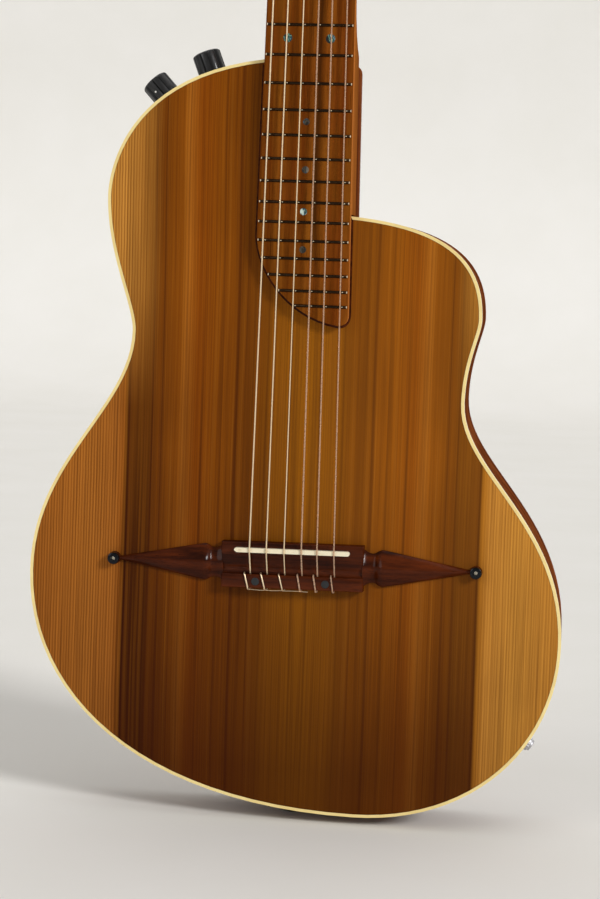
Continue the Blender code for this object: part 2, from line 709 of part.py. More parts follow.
def side_profile(points, x_range):
    """A (z, height above the soundboard) outline in the YZ plane, thickened along X."""
    loop = [Vector((z, height)) for z, height in points]
    facing = Matrix(((0, 0, 1, 0), (0, -1, 0, TOP_Y), (1, 0, 0, 0), (0, 0, 0, 1)))
    place = Matrix.Translation(((x_range[0] + x_range[1]) / 2, 0.0, 0.0)) @ facing
    return prism([loop], x_range[1] - x_range[0], place)


def on_bridge(obj):
    """Turns a piece with the bridge about the middle of the saddle line."""
    obj.matrix_world = BRIDGE_FRAME @ obj.matrix_world
    return obj


def wing_ring(x, width, height):
    """A ridged cross-section of the bridge's wing at x."""
    middle = SADDLE_Z - WING_DROP
    shape = ((-0.5, 0.0), (-0.5, 0.35), (-0.27, 0.80), (0.0, 1.0), (0.27, 0.80), (0.5, 0.35), (0.5, 0.0))
    return [(x, BRIDGE_BACK_Y - height * share_h, middle + width * share_w) for share_w, share_h in shape]


def bridge():
    up, down, top = BRIDGE_BLOCK_UP, BRIDGE_BLOCK_DOWN, BRIDGE_HEIGHT
    half = BRIDGE_BLOCK_WIDTH / 2
    profile = ((up, GAP), (up, top - BLOCK_CHAMFER), (up - BLOCK_CHAMFER, top), (RAMP_START, top),
               (RAMP_END, TIE_FLOOR), (-TIE_FRONT, TIE_FLOOR), (-TIE_FRONT, top),
               (BLOCK_CHAMFER - down, top), (-down, top - BLOCK_CHAMFER), (-down, GAP))
    block = side_profile([(SADDLE_Z + z, height) for z, height in profile], (-half, half))
    cove = [(half + beyond, width, height) for beyond, width, height in BRIDGE_COVE]
    cove += [(WING_START, WING_ROOT_WIDTH, WING_HEIGHT - WING_EASE),
             (WING_START + WING_CREST, WING_ROOT_WIDTH - WING_EASE, WING_HEIGHT),
             (WING_END, WING_TIP_WIDTH, WING_TIP_HEIGHT)]
    bolt_z = SADDLE_Z - WING_DROP
    boss_y = BRIDGE_BACK_Y - WING_TIP_HEIGHT
    for side in (-1, 1):
        rings = [wing_ring(side * x, width, height) for x, width, height in cove]
        combine(block, loft(rings), "UNION")
        bolt_x = side * BRIDGE_BOLT_X
        boss = rod(BOLT_BOSS, (bolt_x, BRIDGE_BACK_Y, bolt_z), (bolt_x, boss_y, bolt_z), 16)
        link = box(sorted((side * (WING_END - CUT), bolt_x)), (boss_y + LINK_DROP, BRIDGE_BACK_Y),
                   (bolt_z - LINK_HALF, bolt_z + LINK_HALF))
        combine(block, boss, "UNION")
        combine(block, link, "UNION")
        combine(block, rod(BOLT_RADIUS + GAP, (bolt_x, TOP_Y + CUT, bolt_z),
                           (bolt_x, boss_y - CUT, bolt_z), 10))
    slot = flat_shape([stadium(SADDLE_LENGTH + 2 * GAP, SADDLE_THICK + 2 * GAP)],
                      TOP_Y - top - CUT, TOP_Y - SADDLE_SEAT)
    combine(block, slot)
    for index in range(6):
        x = string_x(index, SADDLE_Z)
        combine(block, rod(TIE_HOLE, (x, TOP_Y - TIE_HOLE_HEIGHT, SADDLE_Z - TIE_FRONT + CUT),
                           (x, TOP_Y - TIE_HOLE_HEIGHT, SADDLE_Z - down - CUT), 8))
    for x in PLUG_XS:
        combine(block, rod(PLUG_RADIUS + GAP, (x, TOP_Y - top - CUT, SADDLE_Z - PLUG_DROP),
                           (x, TOP_Y - top + PLUG_DEPTH, SADDLE_Z - PLUG_DROP), 12))
    finish(on_bridge(settle(block)), "bridge", ROSEWOOD, 30)
    for name, x in zip(("plug_bass", "plug_treble"), PLUG_XS):
        plug = rod(PLUG_RADIUS, (x, TOP_Y - top + PLUG_SUNK, SADDLE_Z - PLUG_DROP),
                   (x, TOP_Y - top + PLUG_DEPTH - GAP, SADDLE_Z - PLUG_DROP), 12)
        finish(on_bridge(plug), name, BLACK, 40)


def stadium(length, width):
    """A bar outline with round ends at the saddle line."""
    radius = width / 2
    reach = length / 2 - radius
    loop = []
    for side, start in ((1, -PI / 2), (-1, PI / 2)):
        for step in range(7):
            angle = start + PI * step / 6
            x = side * reach + radius * math.cos(angle)
            loop.append(Vector((x, SADDLE_Z + radius * math.sin(angle))))
    return loop


def saddle():
    body = flat_shape([stadium(SADDLE_LENGTH, SADDLE_THICK)], TOP_Y - SADDLE_HEIGHT + GAP,
                      TOP_Y - SADDLE_SEAT - GAP)
    finish(on_bridge(body), "saddle", BONE, 40)


def bridge_bolts():
    bolt_z = SADDLE_Z - WING_DROP
    seat = WING_TIP_HEIGHT + 2 * GAP
    for name, side in (("bolt_bass", -1), ("bolt_treble", 1)):
        top = BOLT_HEAD_HEIGHT
        profile = ((0.0, BOLT_SOCKET_FLOOR), (BOLT_SOCKET, BOLT_SOCKET_FLOOR), (BOLT_SOCKET, top),
                   (BOLT_HEAD - BOLT_EDGE, top), (BOLT_HEAD, top - BOLT_EDGE), (BOLT_HEAD, 0.0),
                   (BOLT_RADIUS, 0.0), (BOLT_RADIUS, -BOLT_LENGTH), (0.0, -BOLT_LENGTH))
        place = pose_along((side * BRIDGE_BOLT_X, TOP_Y - seat, bolt_z), (0.0, -1.0, 0.0))
        bolt = on_bridge(turned(profile, place, 14))
        finish(bolt, "bridge_" + name, BLACK_STEEL, 40)


def neck():
    end_z = NUT_Z + NUT_THICK
    stations = [(HEEL_END_Z, HEEL_DEPTH, HEEL_RISE[0][2])]
    stations += [(SHELF_TOP_Z + above, HEEL_DEPTH - rise, square) for above, rise, square in HEEL_RISE]
    stations += [(SHELF_TOP_Z + NECK_12_ABOVE, NECK_DEPTH_12, NECK_SQUARENESS),
                 (end_z, NECK_DEPTH_NUT, NECK_SQUARENESS)]
    rings = []
    for z, depth, square in stations:
        ring = []
        for step in range(13):
            angle = PI * step / 12
            across = math.copysign(abs(math.cos(angle)) ** (2 / square), math.cos(angle))
            down = max(math.sin(angle), 0.0) ** (2 / square)
            if step in (0, 12):
                down = 0.0
            if step == 6:
                across = 0.0
            ring.append((half_board(z) * across, TOP_Y + depth * down, z))
        rings.append(ring)
    body = loft(rings)
    for x, z in NECK_BOLT_PLACES:
        bore = rod(NECK_BOLT_RADIUS + GAP, (x, SHELF_Y + CUT, z), (x, SHELF_Y - NECK_BOLT_GRIP - GAP, z), 10)
        combine(body, bore)
    finish(body, "neck", NECK_WOOD, 40)
    for index, (x, z) in enumerate(NECK_BOLT_PLACES):
        head = NECK_BOLT_HEAD_HEIGHT
        floor = head - NECK_SOCKET_DEPTH
        length = NECK_BOLT_SEAT - SHELF_Y + NECK_BOLT_GRIP
        profile = ((0.0, floor), (NECK_SOCKET, floor), (NECK_SOCKET, head), (NECK_BOLT_HEAD, head),
                   (NECK_BOLT_HEAD, GAP), (NECK_BOLT_RADIUS, GAP), (NECK_BOLT_RADIUS, -length),
                   (0.0, -length))
        place = pose_along((x, NECK_BOLT_SEAT, z), (0.0, 1.0, 0.0))
        finish(turned(profile, place, 12), f"neck_bolt_{index + 1}", BLACK_STEEL, 40)


def board_end():
    """The fingerboard's carved end, from the bass edge to the treble edge."""
    start = Vector((-half_board(SCOOP_START_Z), SCOOP_START_Z))
    end = Vector((half_board(BOARD_END_Z) - TIP_WIDTH, BOARD_END_Z))
    corner_z = BOARD_END_Z + TIP_HEIGHT
    corner = Vector((half_board(corner_z), corner_z))
    pull = start + Vector((SCOOP_PULL / 19, -SCOOP_PULL))
    low = Vector((SCOOP_LOW[0], BOARD_END_Z + SCOOP_LOW[1]))
    scoop = interpolate_bezier(start, pull, low, end, 12)
    turn = interpolate_bezier(end, end + Vector((TIP_WIDTH * 0.6, 0.0)),
                              corner - Vector((0.0, TIP_HEIGHT * 0.66)), corner, 5)
    return [Vector(point[:2]) for point in list(scoop) + list(turn)[1:]]


def board_left(z):
    """The fingerboard's bass edge at a height, also along its carved end."""
    edge = board_end()
    for first, second in zip(edge[:-1], edge[1:]):
        if second.y <= z <= first.y and first.x < half_board(z) - TIP_WIDTH / 2:
            share = (first.y - z) / (first.y - second.y)
            return first.x + (second.x - first.x) * share
    return -half_board(z)


def fingerboard():
    top_z = NUT_Z - GAP
    outline = board_end() + [Vector((half_board(top_z), top_z)), Vector((-half_board(top_z), top_z))]
    board = flat_shape([outline], BOARD_Y, BOARD_BACK_Y)
    low = fret_z(FRET_COUNT) - SPINE_HALF - GAP
    high = fret_z(1) + SPINE_HALF + GAP
    side = SPINE_HALF + GAP
    floor_y = BOARD_BACK_Y - SPINE_DEEP - 2 * GAP
    channel = box((SPINE_X - side, SPINE_X + side), (floor_y, BOARD_BACK_Y + CUT), (low, high))
    for number in range(1, FRET_COUNT + 1):
        z = fret_z(number)
        hole = box((SPINE_X - side, SPINE_X + side), (BOARD_Y - CUT, BOARD_BACK_Y - SPINE_DEEP),
                   (z - side, z + side))
        combine(board, hole)
    combine(board, channel)
    finish(settle(board), "fingerboard", BOARD_WOOD)


def frets():
    """All frets, joined under the board by a thin strip so that they make one solid."""
    spine = box((SPINE_X - SPINE_HALF, SPINE_X + SPINE_HALF), (BOARD_BACK_Y - SPINE_DEEP, BOARD_BACK_Y),
                (fret_z(FRET_COUNT) - SPINE_HALF, fret_z(1) + SPINE_HALF))
    seat_y = BOARD_Y - GAP
    for number in range(1, FRET_COUNT + 1):
        z = fret_z(number)
        left = board_left(z) + FRET_INSET
        right = half_board(z) - FRET_INSET
        half = FRET_WIDTH / 2
        base = TOP_Y - seat_y
        crown = half * FRET_CROWN
        section = ((z - half, base), (z + half, base), (z + crown, base + FRET_HEIGHT),
                   (z - crown, base + FRET_HEIGHT))
        bar = side_profile(section, (left, right))
        combine(spine, bar, "UNION")
        pin_y = (seat_y - PIN_LAP, BOARD_BACK_Y - SPINE_DEEP / 2)
        pin = box((SPINE_X - PIN_HALF, SPINE_X + PIN_HALF), pin_y, (z - PIN_HALF, z + PIN_HALF))
        combine(spine, pin, "UNION")
    finish(settle(spine), "frets", NICKEL)


def string_nut_y(index):
    return FRET_Y - NUT_RISE - STRING_RADII[index]


def nut():
    top_z = NUT_Z + NUT_THICK
    half = half_board(NUT_Z) - GAP
    crest = FRET_Y - NUT_RISE - NUT_SHOULDER
    bar = box((-half, half), (crest, TOP_Y - GAP), (NUT_Z, top_z))
    for index in range(6):
        x = string_x(index, NUT_Z)
        y = string_nut_y(index)
        radius = STRING_RADII[index] + GAP
        combine(bar, rod(radius, (x, y, NUT_Z - CUT), (x, y, top_z + CUT), 8))
        open_top = box((x - radius, x + radius), (crest - CUT, y), (NUT_Z - CUT, top_z + CUT))
        combine(bar, open_top)
    finish(settle(bar), "nut", BONE)


HEAD_FRAME = (Matrix.Translation((0.0, BOARD_Y + VENEER_DROP, NUT_Z + NUT_THICK + GAP))
              @ Matrix.Rotation(HEAD_TILT, 4, "X"))
CORE_FRONT = VENEER_THICK + GAP
POSTS = tuple(POST_START + POST_SPACING * step for step in range(3))


def head_plate(front, back):
    """A plate of the headstock between two depths of its own frame, cut square at the nut."""
    half = HEAD_WIDTH / 2
    root = half_board(NUT_Z)
    flare_end = Vector((half, HEAD_ROOT + HEAD_FLARE))
    flare = interpolate_bezier(Vector((root, HEAD_ROOT)), Vector((root, HEAD_ROOT + HEAD_FLARE * 0.4)),
                               flare_end - Vector((0.0, HEAD_FLARE * 0.8)), flare_end, 5)
    shoulder = Vector((half, HEAD_LENGTH - HEAD_CROWN))
    crown = interpolate_bezier(shoulder, shoulder + Vector((-HEAD_ROOT, HEAD_CROWN / 2)),
                               Vector((HEAD_CROWN_X, HEAD_LENGTH)), Vector((0.0, HEAD_LENGTH)), 7)
    right = [Vector((root, -HEAD_FOOT))] + [Vector(point[:2]) for point in list(flare) + list(crown)]
    left = [Vector((-point.x, point.y)) for point in reversed(right[:-1])]
    loops = [right + left]
    radius = SLOT_WIDTH / 2
    for side in (-1, 1):
        centre = side * (SLOT_INNER_X + radius)
        slot = []
        for middle, start in ((SLOT_END - radius, 0.0), (SLOT_START + radius, PI)):
            for step in range(7):
                angle = start + PI * step / 6
                slot.append(Vector((centre + radius * math.cos(angle), middle + radius * math.sin(angle))))
        loops.append(slot)
    place = Matrix.Translation((0.0, (front + back) / 2, 0.0)) @ Matrix.Rotation(PI / 2, 4, "X")
    plate = prism(loops, back - front, HEAD_FRAME @ place)
    low = NUT_Z + NUT_THICK + GAP
    combine(plate, box((-HEAD_WIDTH, HEAD_WIDTH), (-HEAD_WIDTH, HEAD_WIDTH), (low - HEAD_WIDTH, low)))
    return plate


def headstock():
    core = head_plate(CORE_FRONT, CORE_FRONT + HEAD_THICK)
    for post in POSTS:
        for side in (-1, 1):
            bore = rod(AXLE_RADIUS + GAP, (side * (HEAD_WIDTH / 2 + CUT), ROLLER_DEPTH, post),
                       (side * (AXLE_END - GAP), ROLLER_DEPTH, post), 10)
            bore.matrix_world = HEAD_FRAME @ bore.matrix_world
            combine(core, bore)
    finish(settle(core), "headstock", NECK_WOOD, 30)
    finish(settle(head_plate(0.0, VENEER_THICK)), "head_veneer", ROSEWOOD, 30)


def gear_outline():
    """A wheel outline with teeth; one tooth points along the local Y axis."""
    loop = []
    step = 2 * PI / GEAR_TEETH
    for tooth in range(GEAR_TEETH):
        middle = PI / 2 + tooth * step
        for radius, turn in ((GEAR_ROOT, -0.30), (GEAR_TIP, -0.11), (GEAR_TIP, 0.11), (GEAR_ROOT, 0.30)):
            angle = middle + turn * step
            loop.append(Vector((radius * math.cos(angle), radius * math.sin(angle))))
    return loop


def tuner_plate(name, side):
    inner = HEAD_WIDTH / 2 + GAP
    outer = inner + PLATE_THICK
    centre_y = ROLLER_DEPTH + PLATE_OFFSET
    half = PLATE_WIDTH / 2
    plate = box(sorted((side * inner, side * outer)), (centre_y - half, centre_y + half),
                (POSTS[0] - PLATE_BELOW, POSTS[-1] + PLATE_ABOVE))
    plate.matrix_world = HEAD_FRAME
    for post in POSTS:
        worm_z = post + WORM_CENTRES
        for low in (TAB_FRONT, TAB_BACK):
            tab = box(sorted((side * (outer - TAB_LAP), side * (outer + TAB_REACH))), (low, low + TAB_THICK),
                      (worm_z - TAB_HALF, worm_z + TAB_HALF))
            combine(tab, rod(WORM_SHAFT + GAP, (side * WORM_X, low - CUT, worm_z),
                             (side * WORM_X, low + TAB_THICK + CUT, worm_z), 10))
            tab = settle(tab)
            tab.matrix_world = HEAD_FRAME
            combine(plate, tab, "UNION")
        hole = rod(AXLE_RADIUS + GAP, (side * (inner - CUT), ROLLER_DEPTH, post),
                   (side * (outer + CUT), ROLLER_DEPTH, post), 10)
        hole.matrix_world = HEAD_FRAME @ hole.matrix_world
        combine(plate, hole)
    finish(settle(plate), name, BRASS)


def roller(name, side, post):
    """A string roller on its axle, with the worm wheel outside the plate."""
    outer = HEAD_WIDTH / 2 + 2 * GAP + PLATE_THICK
    slot_in = SLOT_INNER_X + ROLLER_CLEAR
    slot_out = SLOT_INNER_X + SLOT_WIDTH - ROLLER_CLEAR
    end = WORM_X + GEAR_THICK / 2 + HUB_STEP
    hub = AXLE_RADIUS + HUB_STEP
    profile = ((0.0, end), (AXLE_RADIUS, end), (AXLE_RADIUS, WORM_X), (hub, WORM_X), (hub, outer),
               (AXLE_RADIUS, outer), (AXLE_RADIUS, slot_out),
               (ROLLER_RADIUS, slot_out), (ROLLER_RADIUS, slot_in), (AXLE_RADIUS, slot_in),
               (AXLE_RADIUS, AXLE_END), (0.0, AXLE_END))
    along = Matrix.Rotation(side * PI / 2, 4, "Y")
    body = settle(turned(profile, along, 10))
    wheel_at = Matrix.Translation((side * WORM_X, 0.0, 0.0))
    facing = Matrix(((0, 0, 1, 0), (1, 0, 0, 0), (0, 1, 0, 0), (0, 0, 0, 1)))
    combine(body, prism([gear_outline()], GEAR_THICK, wheel_at @ facing), "UNION")
    place_in_head(settle(body), (0.0, ROLLER_DEPTH, post), name, BRASS)


def place_in_head(obj, centre, name, look):
    """Bakes the shape at the origin, then sets the origin on the joint's axis in the head."""
    obj.data.transform(obj.matrix_world)
    obj.matrix_world = HEAD_FRAME @ Matrix.Translation(centre)
    finish(obj, name, look, 30)


def worm(name, side, post):
    """The worm with its shaft and button; the button is behind the head."""
    back = TAB_BACK + TAB_THICK - ROLLER_DEPTH
    front = TAB_FRONT - ROLLER_DEPTH
    bell = back + BUTTON_STANDOFF
    end = bell + BUTTON_LENGTH
    inner_back, inner_front = back - TAB_THICK - GAP, front + TAB_THICK + GAP
    profile = ((0.0, end), (BUTTON_END, end), (BUTTON_BELLY, bell + BUTTON_BELLY_AT), (BUTTON_ROOT, bell),
               (WORM_COLLAR, bell - HUB_STEP), (WORM_COLLAR, back + GAP), (WORM_SHAFT, back + GAP),
               (WORM_SHAFT, inner_back), (WORM_CORE, inner_back), (WORM_CORE, inner_front),
               (WORM_SHAFT, inner_front), (WORM_SHAFT, front), (0.0, front))
    upright = Matrix.Rotation(-PI / 2, 4, "X")
    body = settle(turned(profile, upright, 10))
    turns = WORM_TURNS / 2
    points = []
    for step in range(WORM_POINTS + 1):
        angle = -turns * 2 * PI + step * turns * 4 * PI / WORM_POINTS
        points.append((WORM_THREAD_AT * math.sin(angle), WORM_PITCH * angle / (2 * PI),
                       WORM_THREAD_AT * math.cos(angle)))
    combine(body, wire(points, WORM_THREAD, 0), "UNION")
    place_in_head(settle(body), (side * WORM_X, ROLLER_DEPTH, post + WORM_CENTRES), name, PEARL)


def tuners():
    names = (("e", "a", "d"), ("e_high", "b", "g"))
    for side, label, strings in ((-1, "bass", names[0]), (1, "treble", names[1])):
        tuner_plate("tuner_plate_" + label, side)
        for post, string in zip(POSTS, strings):
            roller("roller_" + string, side, post)
            worm("tuner_" + string, side, post)


def least_gap(points, radius, apart):
    """The least clear distance between stretches of a tube that lie apart along it."""
    least = None
    for i, first in enumerate(points):
        for second in points[i + apart:]:
            distance = (Vector(first) - Vector(second)).length - 2 * radius
            least = distance if least is None else min(least, distance)
    return least


def string_points(index):
    """One string: its loop over the tie block, its run, and its turns on the roller."""
    radius = STRING_RADII[index]
    low_x = string_x(index, SADDLE_Z)
    down = BRIDGE_BLOCK_DOWN
    over = BRIDGE_HEIGHT + GAP + radius
    hole = TIE_HOLE_HEIGHT
    saddle_at = SADDLE_HEIGHT + radius
    behind = -down - radius - TIE_STANDOFF
    loop_x = [TIE_SLANT * share for share in (1.0, 0.92, 0.79, 0.25, 0.19, 0.08)]
    route = ((loop_x[0], hole + TIE_EASE, -TIE_FRONT + TIE_STANDOFF),
             (loop_x[1], over - TIE_EASE, -TIE_FRONT + TIE_STANDOFF),
             (loop_x[2], over, -TIE_FRONT - TIE_STANDOFF), (loop_x[3], over, TIE_EASE - down),
             (loop_x[4], over - TIE_EASE, behind), (loop_x[5], hole + TIE_EASE, behind - TIE_STANDOFF),
             (0.0, hole, -down - TIE_EASE), (0.0, hole, -TIE_FRONT + TIE_EASE),
             (0.0, saddle_at - TIE_EASE / 2, -SADDLE_THICK / 2), (0.0, saddle_at, 0.0))
    points = [BRIDGE_FRAME @ Vector((low_x + dx, TOP_Y - height, SADDLE_Z + z)) for dx, height, z in route]
    nut_y = string_nut_y(index)
    top_x = string_x(index, NUT_Z)
    points.append(Vector((top_x, nut_y, NUT_Z)))
    points.append(Vector((top_x, nut_y, NUT_Z + NUT_THICK)))
    side = -1 if index < 3 else 1
    order = (0, 1, 2, 2, 1, 0)[index]
    inward = -1 if order == 0 else 1
    start_x = TURN_START_X[order]
    reach = (ROLLER_RADIUS + GAP + radius) / math.cos(PI / TURN_STEPS)
    pitch = 2 * radius + TURN_GAP
    for step in range(TURN_POINTS + 1):
        turn = step / TURN_STEPS
        angle = 2 * PI * turn - TURN_LEAD
        x = side * (start_x + inward * pitch * turn)
        local = (x, ROLLER_DEPTH - reach * math.cos(angle), POSTS[order] + reach * math.sin(angle))
        points.append(HEAD_FRAME @ Vector(local))
    return points


def strings():
    for index, name in enumerate(("e", "a", "d", "g", "b", "e_high")):
        points = string_points(index)
        least = least_gap(points[-TURN_POINTS - 1:], STRING_RADII[index], TURN_STEPS // 2)
        print(f"string_{name}: least gap between turns {least * 1000:.2f} mm")
        look = WOUND if index < 3 else NYLON
        finish(wire(points, STRING_RADII[index], 1), "string_" + name, look, 60)


def fluted_outline(radius, flutes, depth):
    loop = []
    for step in range(flutes * 2):
        angle = PI * step / flutes
        reach = radius if step % 2 == 0 else radius - depth
        loop.append(Vector((reach * math.cos(angle), reach * math.sin(angle))))
    return loop


def knobs():
    for number, (x, z) in enumerate(KNOB_PLACES, start=1):
        point, out = nearest_on_outline(x, z)
        base = POT_NUT + KNOB_STANDOFF
        place = pose_along(point, out)
        body = prism([fluted_outline(KNOB_RADIUS, KNOB_FLUTES, KNOB_FLUTE_DEPTH)], KNOB_HEIGHT,
                     Matrix.Translation((0.0, 0.0, base + KNOB_HEIGHT / 2)))
        cap = rod(KNOB_RADIUS - KNOB_CAP, (0.0, 0.0, base + KNOB_HEIGHT - KNOB_CAP),
                  (0.0, 0.0, base + KNOB_HEIGHT + KNOB_CAP), 20)
        combine(body, cap, "UNION")
        combine(body, rod(POT_SHAFT + GAP, (0.0, 0.0, base - CUT), (0.0, 0.0, base + SHAFT_GRIP + GAP), 10))
        combine(body, rod(POT_NUT_RADIUS + 2 * GAP, (0.0, 0.0, base - CUT), (0.0, 0.0, base + GAP), 12))
        knob = settle(body)
        knob.data.transform(knob.matrix_world)
        knob.matrix_world = place
        finish(knob, f"knob_{number}", BLACK, 25)
        wall = SIDE_THICK + POT_SHIM
        start = 2 * GAP
        top, low = base + SHAFT_GRIP, -wall - POT_DEPTH
        profile = ((0.0, top), (POT_SHAFT, top), (POT_SHAFT, POT_NUT + start),
                   (POT_NUT_RADIUS, POT_NUT + start), (POT_NUT_RADIUS, start), (POT_RADIUS, start),
                   (POT_RADIUS, -wall), (POT_CAN, -wall), (POT_CAN, low), (0.0, low))
        finish(turned(profile, place, 12), f"pot_{number}", NICKEL, 30)


def output_jack():
    point, out = nearest_on_outline(*JACK_PLACE)
    start = 2 * GAP
    inside = -SIDE_THICK - 3 * GAP
    end = -JACK_LENGTH
    profile = ((0.0, end), (JACK_BORE, end), (JACK_BORE, JACK_LIP), (JACK_BARREL, JACK_LIP),
               (JACK_BARREL, JACK_NUT), (JACK_RADIUS, JACK_NUT), (JACK_RADIUS, start), (JACK_BARREL, start),
               (JACK_BARREL, inside), (JACK_BODY, inside), (JACK_BODY, end - JACK_WALL),
               (0.0, end - JACK_WALL))
    finish(turned(profile, pose_along(point, out), 14), "output_jack", CHROME, 30)


def strap_button():
    point, out = nearest_on_outline(STRAP_X, 0.0)
    start = 2 * GAP
    top, edge = STRAP_HEIGHT, STRAP_EDGE
    profile = ((0.0, top), (STRAP_RADIUS - edge, top), (STRAP_RADIUS, top - edge),
               (STRAP_RADIUS, top - 2 * edge), (STRAP_WAIST, STRAP_NECK + STRAP_WAIST / 2),
               (STRAP_WAIST, STRAP_NECK), (STRAP_FOOT, start + edge), (STRAP_FOOT, start),
               (STRAP_SCREW, start), (STRAP_SCREW, -STRAP_SCREW_LENGTH), (0.0, -STRAP_SCREW_LENGTH))
    finish(turned(profile, pose_along(point, out), 14), "strap_button", BLACK, 30)


def electronics():
    x, z = COVER_CENTRE
    front = BACK_Y - COVER_THICK - 2 * GAP
    length, depth, width = BATTERY
    battery = box((x - length / 2, x + length / 2), (front - depth, front), (z - width / 2, z + width / 2))
    finish(battery, "battery", BLACK_STEEL)
    length, depth, width = PREAMP
    top = z - COVER_SIZE[1] / 2 - PREAMP_BELOW
    board = box((x - length / 2, x + length / 2), (BACK_INNER_Y - GAP - depth, BACK_INNER_Y - GAP),
                (top - width, top))
    finish(board, "preamp", BLACK)


def build():
    top_plate()
    back_plate()
    sides()
    binding()
    linings()
    neck_block()
    end_block()
    braces()
    access_cover()
    bridge()
    saddle()
    bridge_bolts()
    neck()
    fingerboard()
    frets()
    nut()
    headstock()
    tuners()
    strings()
    knobs()
    output_jack()
    strap_button()
    electronics()


build()
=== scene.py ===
import math

import bmesh
import bpy
from mathutils import Matrix, Vector
from mathutils.geometry import interpolate_bezier


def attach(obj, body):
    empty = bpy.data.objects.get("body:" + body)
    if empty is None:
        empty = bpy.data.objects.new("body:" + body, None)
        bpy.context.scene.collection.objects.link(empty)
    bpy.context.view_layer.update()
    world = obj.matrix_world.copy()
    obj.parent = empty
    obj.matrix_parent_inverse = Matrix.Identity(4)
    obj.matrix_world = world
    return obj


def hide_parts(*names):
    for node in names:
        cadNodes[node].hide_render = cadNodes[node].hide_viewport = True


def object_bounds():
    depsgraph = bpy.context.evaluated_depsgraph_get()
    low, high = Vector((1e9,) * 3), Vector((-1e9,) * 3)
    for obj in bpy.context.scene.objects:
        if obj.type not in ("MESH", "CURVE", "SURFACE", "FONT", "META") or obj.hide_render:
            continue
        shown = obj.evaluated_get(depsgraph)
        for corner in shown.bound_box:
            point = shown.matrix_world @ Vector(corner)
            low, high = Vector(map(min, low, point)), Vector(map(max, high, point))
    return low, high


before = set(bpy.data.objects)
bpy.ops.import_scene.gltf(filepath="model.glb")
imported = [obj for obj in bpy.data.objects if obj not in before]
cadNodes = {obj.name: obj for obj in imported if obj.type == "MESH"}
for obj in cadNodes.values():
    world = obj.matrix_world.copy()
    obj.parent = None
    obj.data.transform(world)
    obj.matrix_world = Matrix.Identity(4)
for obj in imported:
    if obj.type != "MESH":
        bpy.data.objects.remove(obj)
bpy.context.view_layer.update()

mm = 0.001
stringNames = ("e", "a", "d", "g", "b", "e_high")


def linear(hexColour):  # sRGB hex to the linear colour that a shader takes
    parts = [int(hexColour[i:i + 2], 16) / 255 for i in (1, 3, 5)]
    parts = [part / 12.92 if part <= 0.04045 else ((part + 0.055) / 1.055) ** 2.4 for part in parts]
    return (*parts, 1.0)


def addNode(tree, kind, settings, inputs):  # one shader node with its settings, values and links
    node = tree.nodes.new("ShaderNode" + kind)
    for name, value in settings.items():
        if name == "stops":
            stops = node.color_ramp.elements
            stops[0].position, stops[0].color = value[0][0], linear(value[0][1])
            stops[1].position, stops[1].color = value[-1][0], linear(value[-1][1])
            for place, colour in value[1:-1]:
                stops.new(place).color = linear(colour)
        else:
            setattr(node, name, value)
    for socket, value in inputs.items():
        if isinstance(value, bpy.types.NodeSocket):
            tree.links.new(value, node.inputs[socket])
        else:
            node.inputs[socket].default_value = value
    return node


def newMaterial(name, colour, roughness, values=None):
    material = bpy.data.materials.new(name)
    material.use_nodes = True
    tree = material.node_tree
    shader = tree.nodes["Principled BSDF"]
    shader.inputs["Base Color"].default_value = linear(colour)
    shader.inputs["Roughness"].default_value = roughness
    for socket, value in (values or {}).items():
        shader.inputs[socket].default_value = value
    material.diffuse_color = linear(colour)
    return material, tree, shader


def noiseField(tree, stretch, scale, detail, vector=None):  # noise on Object coordinates, per metre
    if vector is None:
        vector = addNode(tree, "TexCoord", {}, {}).outputs["Object"]
    mapped = addNode(tree, "Mapping", {}, {"Vector": vector, "Scale": stretch}).outputs[0]
    noise = addNode(tree, "TexNoise", {}, {"Vector": mapped, "Scale": scale, "Detail": detail,
                                           "Roughness": 0.55})
    return noise.outputs["Fac"]


def rescale(tree, value, low, high, newLow, newHigh):
    return addNode(tree, "MapRange", {}, {"Value": value, "From Min": low, "From Max": high,
                                          "To Min": newLow, "To Max": newHigh}).outputs[0]


def mixColours(tree, factor, first, second, blend="MIX"):
    return addNode(tree, "Mix", {"data_type": "RGBA", "blend_type": blend},
                   {0: factor, 6: first, 7: second}).outputs[2]


def calculate(tree, operation, first, second=0.0):
    return addNode(tree, "Math", {"operation": operation}, {0: first, 1: second}).outputs[0]


def roughen(tree, shader, value, low, high):  # wear and handling, as a change in roughness
    tree.links.new(rescale(tree, value, 0.3, 0.7, low, high), shader.inputs["Roughness"])


def raiseBump(tree, shader, value, depth):  # depth in metres
    bump = addNode(tree, "Bump", {}, {"Height": value, "Distance": depth, "Strength": 1.0})
    tree.links.new(bump.outputs[0], shader.inputs["Normal"])
    return bump


